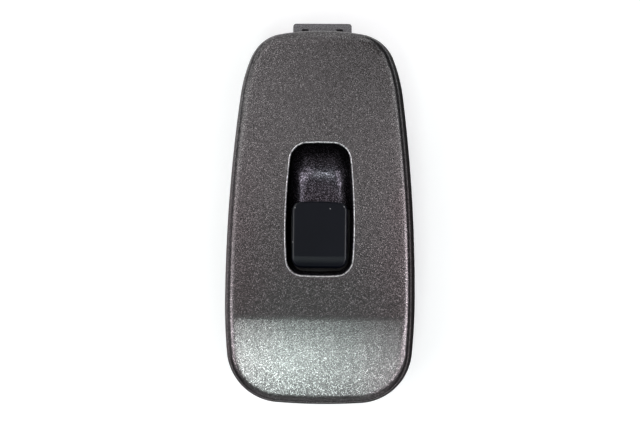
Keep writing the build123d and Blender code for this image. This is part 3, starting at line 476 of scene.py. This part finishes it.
def keep_normals(mesh):
    """Stores the mesh's own normals, for restore_normals to set after a cut."""
    normals = corner_normals(mesh)
    layer = mesh.attributes.new("kept_normal", "FLOAT_VECTOR", "CORNER")
    layer.data.foreach_set("vector", normals)


def cut_mesh(mesh, point, beyond):
    """Cut away what lies beyond a plane, keeping the mesh's own normals."""
    keep_normals(mesh)
    work = bmesh.new()
    work.from_mesh(mesh)
    geometry = [*work.verts, *work.edges, *work.faces]
    bmesh.ops.bisect_plane(work, geom=geometry, plane_co=point, plane_no=beyond, clear_outer=True)
    work.to_mesh(mesh)
    work.free()
    restore_normals(mesh)


def restore_normals(mesh):
    layer = mesh.attributes["kept_normal"]
    normals = np.zeros(len(mesh.loops) * 3, np.float32)
    layer.data.foreach_get("vector", normals)
    normals = normals.reshape(-1, 3)
    length = np.linalg.norm(normals, axis=1, keepdims=True)
    normals = normals / np.where(length > 1e-6, length, 1.0)
    mesh.polygons.foreach_set("use_smooth", [True] * len(mesh.polygons))
    mesh.normals_split_custom_set([tuple(n) for n in normals])
    mesh.attributes.remove(mesh.attributes["kept_normal"])


# ---------------------------------------------------------------- the knob's cap
def roll_planes():
    """Points and outward normals along the rear of the knob's top, from its edge down."""
    start = KNOB_REAR + REAR_CURVE_LENGTH
    runs = np.linspace(0.0, REAR_CURVE_LENGTH, 60)
    slopes = np.radians(np.interp(runs, *zip(*ROLL_SLOPES)))
    drops = np.concatenate([[0.0], np.cumsum(np.diff(runs) * np.tan((slopes[1:] + slopes[:-1]) / 2))])
    points = np.column_stack([start - runs, KNOB_TOP - drops])
    return points, np.column_stack([-np.sin(slopes), np.cos(slopes)])


ROLL_POINTS, ROLL_NORMALS = roll_planes()
ROLL_OFFSETS = (ROLL_POINTS * ROLL_NORMALS).sum(axis=1)
KNOB_MIDDLE = (KNOB_FRONT + KNOB_REAR) / 2


def knob_distance(p):
    """Signed distance of a point from the cap: plan outline, top with its roll, and lip."""
    x, y, z = p
    qx = abs(x) - (KNOB_WIDTH / 2 - KNOB_CORNER)
    qy = abs(y - KNOB_MIDDLE) - ((KNOB_FRONT - KNOB_REAR) / 2 - KNOB_CORNER)
    plan = math.hypot(max(qx, 0), max(qy, 0)) + min(max(qx, qy), 0) - KNOB_CORNER
    crown = math.hypot(x, y - KNOB_FRONT + CROWN_RADIUS) - CROWN_RADIUS
    top = max(z - KNOB_TOP, float((ROLL_NORMALS @ np.array([y, z]) - ROLL_OFFSETS).max()))
    rake = math.atan2(LIP_RAKE, LIP_DEPTH)
    lip = (y - KNOB_FRONT) * math.cos(rake) - (z - KNOB_TOP) * math.sin(rake)
    parts = [max(plan, crown) + KNOB_EDGE, top + KNOB_EDGE, lip + KNOB_EDGE]
    outside = math.sqrt(sum(max(d, 0) ** 2 for d in parts))
    return outside + min(max(parts), 0) - KNOB_EDGE


def knob_skin(low):
    """The cap's outside above a level, as a grid projected from a point inside the cap."""
    centre = np.array([0.0, KNOB_MIDDLE, KNOB_HEART])
    half = np.array([KNOB_WIDTH / 2, (KNOB_FRONT - KNOB_REAR) / 2, KNOB_TOP - centre[2]])
    work = bmesh.new()
    bmesh.ops.create_cube(work, size=2.0)
    bmesh.ops.subdivide_edges(work, edges=work.edges[:], cuts=KNOB_CUTS, use_grid_fill=True)
    for vertex in work.verts:
        way = np.array(vertex.co)
        way = np.sign(way) * np.abs(way) ** KNOB_CROWDING
        ray = way * half
        near, far = 0.0, 3.0
        for _ in range(KNOB_HALVINGS):
            middle = (near + far) / 2
            if knob_distance(centre + ray * middle) > 0:
                far = middle
            else:
                near = middle
        vertex.co = Vector(centre + ray * near)
    bmesh.ops.bisect_plane(
        work, geom=[*work.verts, *work.edges, *work.faces], plane_co=(0, 0, low), plane_no=(0, 0, -1),
        clear_outer=True,
    )
    points = [np.array(v.co) for v in work.verts]
    skin = Skin()
    normals = []
    for p in points:
        slope = np.array([knob_distance(p + way) - knob_distance(p - way) for way in KNOB_PROBE * np.eye(3)])
        normals.append(slope / np.linalg.norm(slope))
    skin.add(points, normals)
    work.verts.index_update()
    for face in work.faces:
        corners = [v.index for v in face.verts]
        a, b, c = (Vector(points[i]) for i in corners[:3])
        if (b - a).cross(c - a).dot(Vector(np.mean([normals[i] for i in corners], axis=0))) < 0:
            corners.reverse()
        skin.add_face(corners, 0)
    work.free()
    return skin.mesh("knob_top")


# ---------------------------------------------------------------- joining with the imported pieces
def kept_copy(node, drop, cuts=()):
    """A copy of a CAD node's mesh, cut by planes, without the faces that drop names."""
    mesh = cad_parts[node].data.copy()
    keep_normals(mesh)
    work = bmesh.new()
    work.from_mesh(mesh)
    for point, across in cuts:
        bmesh.ops.bisect_plane(
            work, geom=[*work.verts, *work.edges, *work.faces], plane_co=point, plane_no=across
        )
    gone = [f for f in work.faces if drop(np.array(f.calc_center_median()) / MM, np.array(f.normal))]
    bmesh.ops.delete(work, geom=gone, context="FACES")
    work.to_mesh(mesh)
    work.free()
    restore_normals(mesh)
    return mesh


def joined(name, meshes):
    """One object from several meshes that share a place, keeping their normals and looks."""
    points, faces, normals, looks = [], [], [], []
    for mesh in meshes:
        first = len(points)
        points.extend(tuple(v.co) for v in mesh.vertices)
        loop_normals = corner_normals(mesh).reshape(-1, 3)
        for polygon in mesh.polygons:
            faces.append(tuple(first + v for v in polygon.vertices))
            normals.extend(tuple(loop_normals[i]) for i in polygon.loop_indices)
            looks.append(polygon.material_index)
    mesh = bpy.data.meshes.new(name)
    mesh.from_pydata(points, [], faces)
    mesh.polygons.foreach_set("use_smooth", [True] * len(mesh.polygons))
    mesh.polygons.foreach_set("material_index", looks)
    mesh.normals_split_custom_set(normals)
    piece = bpy.data.objects.new(name, mesh)
    bpy.context.scene.collection.objects.link(piece)
    return piece


def build_panel():
    """The panel as one piece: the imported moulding's inside, the painted skin and the smooth bowl."""
    outline, outline_n = panel_ring()
    hole, _ = well_ring()

    def drop(centre, normal):
        x, y, z = centre
        if z < RIM_PLANE or normal[2] < LOOKS_DOWN:
            return False
        near = int(np.hypot(outline[:, 0] - x, outline[:, 1] - y).argmin())
        inset = float((outline[near] - (x, y)) @ outline_n[near])
        if min(inset - LEAN * z, face_at(y)[0] - z) < OUTER_DEPTH:
            return True
        return y > POCKET_FRONT and z > -0.05 and normal[2] > 0.02 and inside(hole, x, y)

    body = kept_copy("trim_panel", drop)
    for polygon in body.polygons:
        x, y, z = polygon.center / MM
        in_slot = (
            SLOT_REAR - SLOT_SLACK < y < SLOT_END + SLOT_SLACK and SLOT_INNER < abs(x) < SLOT_OUTER
            and -SLOT_DEPTH - SLOT_SLACK < z - TONGUE_TOP < -SLOT_SLACK
        )
        # painted shade: the insides of the tongue's slots get a near-black look
        if in_slot:
            polygon.material_index = SHADE
        elif z > PAINT_REACH and inside(hole, x, y) and polygon.normal.z > LOOKS_DOWN:
            polygon.material_index = WELL_SHADED
        else:
            polygon.material_index = RAW
    piece = joined("panel_body", [body, panel_skin().mesh("panel_skin"), *bowl_skin()])
    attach(piece, "housing")
    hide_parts("trim_panel")
    return piece


def build_knob():
    """The knob as one piece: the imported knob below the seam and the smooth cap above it."""
    def drop(centre, _):
        return centre[2] > KNOB_SEAM and knob_distance(centre) > -KNOB_SHELL

    body = kept_copy("knob", drop, [((0, 0, KNOB_SEAM * MM), (0, 0, 1))])
    piece = joined("knob_cap", [body, knob_skin(KNOB_SEAM)])
    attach(piece, "knob")
    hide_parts("knob")
    return piece


# ---------------------------------------------------------------- materials
def material(name):
    made = bpy.data.materials.new(name)
    made.use_nodes = True
    made.node_tree.nodes.clear()
    return made, Nodes(made.node_tree)


class Nodes:
    """Shorthand for adding and linking shader nodes."""

    def __init__(self, tree):
        self.tree = tree

    def add(self, kind, inputs=None, **settings):
        node = self.tree.nodes.new(kind)
        for key, value in settings.items():
            setattr(node, key, value)
        for key, value in (inputs or {}).items():
            if isinstance(value, bpy.types.NodeSocket):
                self.tree.links.new(value, node.inputs[key])
            else:
                node.inputs[key].default_value = value
        return node

    def place(self):
        return self.add("ShaderNodeTexCoord").outputs["Object"]

    def noise(self, where, scale, detail, output="Fac"):
        inputs = {"Vector": where, "Scale": scale, "Detail": detail}
        return self.add("ShaderNodeTexNoise", inputs).outputs[output]

    def math(self, operation, *values):
        return self.add("ShaderNodeMath", dict(enumerate(values)), operation=operation).outputs[0]

    def vector(self, operation, *values, output="Vector"):
        made = self.add("ShaderNodeVectorMath", dict(enumerate(values)), operation=operation)
        return made.outputs[output]

    def scaled(self, vector, factor):
        made = self.add("ShaderNodeVectorMath", {0: vector, "Scale": factor}, operation="SCALE")
        return made.outputs["Vector"]

    def ranged(self, value, start, end, **settings):
        """A value taken from one range to another."""
        inputs = {
            "Value": value, "From Min": start[0], "From Max": start[1],
            "To Min": end[0], "To Max": end[1],
        }
        return self.add("ShaderNodeMapRange", inputs, **settings).outputs[0]

    def bump(self, height, strength, depth):
        inputs = {"Height": height, "Strength": strength, "Distance": depth}
        return self.add("ShaderNodeBump", inputs).outputs[0]

    def ramp(self, value, stops):
        node = self.add("ShaderNodeValToRGB", {"Fac": value})
        ramp = node.color_ramp
        while len(ramp.elements) < len(stops):
            ramp.elements.new(1.0)
        for element, (position, colour) in zip(ramp.elements, stops):
            element.position = position
            element.color = (*colour, 1.0) if len(colour) == 3 else (colour[0],) * 3 + (1.0,)
        return node.outputs["Color"]

    def principled(self, **inputs):
        """Ends the material with one principled shader; underscores in names stand for spaces."""
        inputs = {name.replace("_", " "): value for name, value in inputs.items()}
        self.finish(self.add("ShaderNodeBsdfPrincipled", inputs))

    def finish(self, shader):
        self.add("ShaderNodeOutputMaterial", {"Surface": shader.outputs[0]})


PAINTED_SHADE_EDGE_TINT = (0.05, 0.6, 0.9)  # painted shade as a specular tint: on walls turned from the lit way, on those facing it, on the top
PAINT_TINTS = ((1.0, 0.965, 0.975), (1.0, 0.87, 0.90))
WELL_TINTS = ((0.93, 0.84, 1.0), (0.93, 0.84, 1.0))
# Painted light and shade: walls turned away from a lit way get a darker base colour and walls facing it a
# lighter one, and the well's walls are darker still.
WALL_PAINTED_SHADE, WELL_WALL_PAINTED_SHADE, WALL_ROUGHNESS = (0.35, 2.8), (0.06, 2.0), 0.6
PAINTED_LIGHT_WAY = (-0.42, 0.91, 0.0)
PAINTED_SHADE_FACING, EDGE_TINT_FACING = (-0.2, 1.0), (0.3, 0.9)  # how far a wall faces the lit way, for the painted shade and for the edge tint
STEEPNESS = (0.3, 0.75)  # upward part of the normal, from wall to top
GRAIN_SCALE, SOFT_SCALE, SOFT_SHARE = 6000.0, 2600.0, 0.15
FLAKE_PICK = (0.84, 0.93)
RED_SIDE, RED_LENGTH, RED_CLOUD, RED_FULL = (0.010, 0.026), (0.035, 0.0), 70.0, 0.6
STREAK_SCALE = (900.0, 60.0, 60.0)
PAINT_STOPS = [(0.1, (0.034,)), (0.5, (0.082,)), (0.9, (0.16,))]
# the well's paint is a darker copy of the panel's paint: painted shade in the recess
WELL_SHADED_STOPS = [(0.1, (0.004,)), (0.5, (0.022,)), (0.9, (0.065,))]
MIDDLE = (0.5, 0.5, 0.5)


def paint_material(name, stops, sparkle, tilt, streak, roughness, tints, painted_wall_shade):
    """Metallic paint: grain, sparse bright flakes, faint lengthwise streaks and redder sides, with painted
    light and shade on the walls by which way they face.
    """
    made, n = material(name)
    where = n.place()
    cells = n.add("ShaderNodeTexVoronoi", {"Vector": where, "Scale": GRAIN_SCALE}).outputs["Color"]
    grain = n.add("ShaderNodeSeparateColor", {"Color": cells})
    tone = n.math("MULTIPLY", grain.outputs["Red"], 1 - SOFT_SHARE)
    tone = n.math("MULTIPLY_ADD", n.noise(where, SOFT_SCALE, 2.0), SOFT_SHARE, tone)
    bright = n.ramp(grain.outputs["Green"], [(FLAKE_PICK[0], (0.0,)), (FLAKE_PICK[1], sparkle)])
    colour = n.vector("ADD", n.ramp(tone, stops), bright)

    split = n.add("ShaderNodeSeparateXYZ", {"Vector": where})
    side = n.ranged(n.math("ABSOLUTE", split.outputs["X"]), RED_SIDE, (0.0, 1.0))
    behind = n.ranged(split.outputs["Y"], RED_LENGTH, (0.0, 1.0))
    red = n.math("MULTIPLY", n.math("MULTIPLY", side, behind), n.noise(where, RED_CLOUD, 2.0))
    colour = n.vector("MULTIPLY", colour, n.ramp(red, [(0.0, tints[0]), (RED_FULL, tints[1])]))

    normal = n.add("ShaderNodeNewGeometry").outputs["Normal"]
    upward = n.add("ShaderNodeSeparateXYZ", {"Vector": normal}).outputs["Z"]
    facing = n.vector("DOT_PRODUCT", normal, PAINTED_LIGHT_WAY, output="Value")
    # painted light and shade: the base colour of steep walls is scaled by how far they face the lit way, and
    # their edge tint follows it
    painted_light_and_shade = n.ranged(upward, STEEPNESS, (n.ranged(facing, PAINTED_SHADE_FACING, painted_wall_shade), 1.0))
    rough = n.ranged(upward, STEEPNESS, (WALL_ROUGHNESS, roughness))
    edge = n.ranged(facing, EDGE_TINT_FACING, PAINTED_SHADE_EDGE_TINT[:2])
    edge = n.ranged(upward, STEEPNESS, (edge, PAINTED_SHADE_EDGE_TINT[2]))

    lean = n.scaled(n.vector("SUBTRACT", cells, MIDDLE), tilt)
    lengthwise = n.add("ShaderNodeMapping", {"Vector": where, "Scale": STREAK_SCALE}).outputs[0]
    wave = n.noise(lengthwise, 1.0, 1.0, output="Color")
    sway = n.scaled(n.vector("SUBTRACT", wave, MIDDLE), streak)
    bent = n.vector("NORMALIZE", n.vector("ADD", n.vector("ADD", normal, lean), sway))
    n.principled(
        Base_Color=n.scaled(colour, painted_light_and_shade), Metallic=1.0, Roughness=rough, Normal=bent, Specular_Tint=edge
    )
    return made


TINT_STOPS = (0.35, 0.65)  # share of the noise at which the darker and lighter tints are full
GRAIN_DEPTH, STREAK_DEPTH = 0.0001, 0.00005


def tinted(n, value, colour, spread):
    """A colour that varies by a share of itself with a noise."""
    shades = [tuple(min(c * (1 + way * spread), 1.0) for c in colour) for way in (-1, 1)]
    return n.ramp(value, list(zip(TINT_STOPS, shades)))


def plastic_material(name, colour, roughness, grain=900.0, strength=0.12, spread=0.15, speck=False):
    """Moulded plastic with a fine spark-eroded grain, whose colour follows the grain if it is specked."""
    made, n = material(name)
    where = n.place()
    fine, broad = n.noise(where, grain, 3.0), n.noise(where, grain / 25, 3.0)
    n.principled(
        Base_Color=tinted(n, fine if speck else broad, colour, spread),
        Roughness=n.ranged(broad, (0.0, 1.0), (roughness - 0.05, roughness + 0.05)),
        Normal=n.bump(fine, strength, GRAIN_DEPTH),
    )
    return made


KNOB_SHADES = [(0.3, (0.0018, 0.0026, 0.0050)), (0.7, (0.0026, 0.0034, 0.0072))]
# the knob's sides get more specular than its top: painted sheen
KNOB_SIDE, KNOB_PAINTED_SHEEN, KNOB_ROUGHNESS = (0.05, 0.25), (0.11, 0.6), (0.32, 0.40)
DUST_SCALE, DUST_PICK, DUST_SIZE, DUST_TONE = 260.0, 0.80, 0.045, 0.22


def knob_material():
    """Satin black plastic with a painted sheen, its sides given more specular than its top, and a few specks
    of dust.
    """
    made, n = material("knob_plastic_look")
    where = n.place()
    broad = n.noise(where, 60.0, 3.0)
    cell = n.add("ShaderNodeTexVoronoi", {"Vector": where, "Scale": DUST_SCALE}, voronoi_dimensions="2D")
    pick = n.add("ShaderNodeSeparateColor", {"Color": cell.outputs["Color"]})
    speck = n.math(
        "MULTIPLY", n.math("GREATER_THAN", pick.outputs["Red"], DUST_PICK),
        n.math("LESS_THAN", cell.outputs["Distance"], DUST_SIZE),
    )
    dust = n.ramp(speck, [(0.0, (0.0,)), (1.0, (DUST_TONE,))])
    normal = n.add("ShaderNodeSeparateXYZ", {"Vector": n.add("ShaderNodeNewGeometry").outputs["Normal"]})
    n.principled(
        Base_Color=n.vector("ADD", n.ramp(broad, KNOB_SHADES), dust),
        Roughness=n.ranged(broad, (0.0, 1.0), KNOB_ROUGHNESS),
        Normal=n.bump(n.noise(where, 1600.0, 3.0), 0.05, GRAIN_DEPTH),
        # painted sheen: the sides reflect more than the top
        Specular_IOR_Level=n.ranged(n.math("ABSOLUTE", normal.outputs["X"]), KNOB_SIDE, KNOB_PAINTED_SHEEN),
    )
    return made


def metal_material(name, colour, roughness, streak=(400.0, 400.0, 3000.0), spread=0.12):
    """Rolled or plated metal with fine drawn streaks."""
    made, n = material(name)
    stretched = n.add("ShaderNodeMapping", {"Vector": n.place(), "Scale": streak}).outputs[0]
    grain = n.noise(stretched, 1.0, 4.0)
    n.principled(
        Base_Color=tinted(n, grain, colour, spread), Metallic=1.0,
        Roughness=n.ranged(grain, (0.0, 1.0), (roughness - 0.06, roughness + 0.08)),
        Normal=n.bump(grain, 0.15, STREAK_DEPTH),
    )
    return made


def put(piece, *looks):
    """Gives a piece its looks; faces keep the number of theirs."""
    indices = [polygon.material_index for polygon in piece.data.polygons]
    piece.data.materials.clear()
    for look in looks:
        piece.data.materials.append(look)
    if len(looks) > 1:
        piece.data.polygons.foreach_set("material_index", indices)


def dress():
    """Builds the two skinned pieces and gives every piece its looks."""
    panel, knob = build_panel(), build_knob()
    paint = paint_material(
        "panel_paint_look", PAINT_STOPS, sparkle=(0.17,), tilt=0.05, streak=0.03, roughness=0.25,
        tints=PAINT_TINTS, painted_wall_shade=WALL_PAINTED_SHADE,
    )
    # painted shade: the well, bowl and collar get a darker copy of the panel's paint
    well = paint_material(
        "panel_well_painted_shade_look", WELL_SHADED_STOPS, sparkle=(0.20,), tilt=0.05, streak=0.0, roughness=0.29,
        tints=WELL_TINTS, painted_wall_shade=WELL_WALL_PAINTED_SHADE,
    )
    # painted highlight: a light metal band on the well's rim stands in for the light it catches
    rim = metal_material("panel_rim_painted_highlight_look", (0.48, 0.47, 0.48), 0.42, (1800.0, 1800.0, 1800.0), 0.75)
    raw = plastic_material("panel_raw_look", (0.15, 0.147, 0.155), 0.5, 3500.0, 0.3, 0.8, speck=True)
    # painted shade: near-black for the insides of the tongue's slots
    shade = plastic_material("panel_slot_painted_shade_look", (0.006, 0.006, 0.007), 0.6)
    put(panel, paint, rim, raw, shade, well)
    put(knob, knob_material())
    looks = {
        "case_plastic": plastic_material("case_plastic_look", (0.02, 0.02, 0.021), 0.5),
        "base_plastic": plastic_material("base_plastic_look", (0.028, 0.028, 0.03), 0.46),
        "terminal_brass": metal_material("terminal_brass_look", (0.72, 0.52, 0.22), 0.3),
        "contact_silver": metal_material("contact_silver_look", (0.82, 0.80, 0.76), 0.25),
        "spring_steel": metal_material("spring_steel_look", (0.50, 0.49, 0.48), 0.32),
        "screw_zinc": metal_material("screw_zinc_look", (0.62, 0.62, 0.60), 0.35),
    }
    for name, node in sorted(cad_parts.items()):
        if name in ("trim_panel", "knob"):
            continue
        slot = node.material_slots[0].material.name
        put(node, looks[slot])


# ---------------------------------------------------------------- floor, light and camera
FLOOR_GLOW = 0.38
FLOOR_REACH = 1.5


def floor_material():
    """Pale floor that shows as white where nothing shades it."""
    made, n = material("floor_look")
    pale = n.ramp(n.noise(n.place(), 30.0, 2.0), [(0.3, (0.79, 0.79, 0.79)), (0.7, (0.81, 0.81, 0.81))])
    diffuse = n.add("ShaderNodeBsdfDiffuse", {"Color": pale})
    glow = n.add("ShaderNodeEmission", {"Color": (1, 1, 1, 1), "Strength": FLOOR_GLOW})
    both = n.add("ShaderNodeAddShader", {0: diffuse.outputs[0], 1: glow.outputs[0]})
    path = n.add("ShaderNodeLightPath")
    seen = n.math("MAXIMUM", path.outputs["Is Camera Ray"], path.outputs["Is Glossy Ray"])
    seen = n.math("MAXIMUM", seen, path.outputs["Is Transmission Ray"])
    n.finish(n.add("ShaderNodeMixShader", {0: seen, 1: diffuse.outputs[0], 2: both.outputs[0]}))
    return made


def build_floor():
    """The floor on which the switch rests."""
    low, far = FIRST_BOUNDS[0][2], FLOOR_REACH
    mesh = bpy.data.meshes.new("floor")
    corners = [(-far, -far, low), (far, -far, low), (far, far, low), (-far, far, low)]
    mesh.from_pydata(corners, [], [(0, 1, 2, 3)])
    floor = bpy.data.objects.new("floor", mesh)
    bpy.context.scene.collection.objects.link(floor)
    mesh.materials.append(floor_material())


LAMP_DISTANCE = 0.9


def softbox(name, direction, size, power, colour):
    """A rectangular lamp aimed at the panel; azimuth runs from the front, +Y, towards +X."""
    azimuth, height = (math.radians(a) for a in direction)
    level = math.cos(height)
    way = Vector((math.sin(azimuth) * level, math.cos(azimuth) * level, math.sin(height)))
    lamp = bpy.data.lights.new(name, "AREA")
    lamp.shape = "RECTANGLE"
    lamp.size, lamp.size_y = size
    lamp.energy = power
    lamp.color = colour
    holder = bpy.data.objects.new(name, lamp)
    holder.location = way * LAMP_DISTANCE
    holder.rotation_euler = way.to_track_quat("Z", "Y").to_euler()
    bpy.context.scene.collection.objects.link(holder)


PLAIN, WARM = (1.0, 1.0, 1.0), (1.0, 0.96, 0.97)
VIOLET, GREENISH = (0.97, 0.97, 1.0), (0.86, 1.0, 0.955)
LAMPS = (
    # name, azimuth and height in degrees, size, power, colour
    ("key_rear", (194, 67), (0.17, 0.13), 1.26, GREENISH),
    ("overhead_right", (70, 80), (0.20, 0.20), 0.28, WARM),
    ("overhead_left", (305, 80), (0.20, 0.20), 0.19, WARM),
    ("overhead_front", (335, 68), (0.30, 0.20), 0.36, WARM),
    ("front_high", (350, 45), (0.80, 0.45), 1.25, PLAIN),
    ("front_low", (345, 18), (0.80, 0.30), 1.00, PLAIN),
    ("side_right", (107, 60), (0.40, 0.20), 2.15, VIOLET),
    ("right_fill", (60, 62), (0.30, 0.24), 0.40, PLAIN),
    ("rear_right", (150, 61), (0.32, 0.14), 0.95, VIOLET),
    ("side_left", (244, 57), (0.37, 0.20), 1.65, VIOLET),
    ("left_fill", (283, 60), (0.30, 0.40), 0.75, PLAIN),
    ("left_front", (300, 34), (0.50, 0.40), 0.75, PLAIN),
    ("left_low", (262, 22), (0.50, 0.30), 0.30, PLAIN),
    ("rear_low", (180, 33), (0.80, 0.40), 0.60, PLAIN),
)
WORLD_LEVELS, WORLD_RISE = (0.30, 0.02), (0.1, 0.6)  # at the horizon and overhead, and between
WORLD_COLOUR = (0.95, 0.97, 1.0, 1.0)


def light():
    """A dim world that is lighter near the horizon, and the lamps."""
    world = bpy.data.worlds.new("world")
    bpy.context.scene.world = world
    world.use_nodes = True
    world.node_tree.nodes.clear()
    n = Nodes(world.node_tree)
    up = n.add("ShaderNodeSeparateXYZ", {"Vector": n.add("ShaderNodeTexCoord").outputs["Generated"]})
    level = n.ranged(up.outputs["Z"], WORLD_RISE, WORLD_LEVELS, interpolation_type="SMOOTHSTEP")
    dim = n.add("ShaderNodeBackground", {"Color": WORLD_COLOUR, "Strength": level})
    n.add("ShaderNodeOutputWorld", {"Surface": dim.outputs[0]})
    for lamp in LAMPS:
        softbox(*lamp)


CAMERA_PLACE = (0.012, -0.010, 0.45)
AIM = (-0.00016, 0.00110, 0.0)
PICTURE_WIDTH = 0.2059  # metres across the picture at the aim
PICTURE_TURN = math.radians(0.50)
SENSOR_WIDTH = 36.0


def camera():
    """Looks down at the panel with +Y up in the picture, turned slightly as the switch was laid."""
    eye, aim = Vector(CAMERA_PLACE), Vector(AIM)
    back = (eye - aim).normalized()
    right = Vector((math.cos(PICTURE_TURN), math.sin(PICTURE_TURN), 0.0))
    right = (right - back * right.dot(back)).normalized()
    up = back.cross(right)
    lens = bpy.data.cameras.new("camera")
    lens.sensor_width = SENSOR_WIDTH
    lens.lens = SENSOR_WIDTH * (eye - aim).length / PICTURE_WIDTH
    holder = bpy.data.objects.new("camera", lens)
    holder.matrix_world = Matrix.LocRotScale(eye, Matrix((right, up, back)).transposed(), None)
    bpy.context.scene.collection.objects.link(holder)
    bpy.context.scene.camera = holder


dress()
build_floor()
light()
camera()
bpy.context.scene.view_settings.view_transform = "Standard"
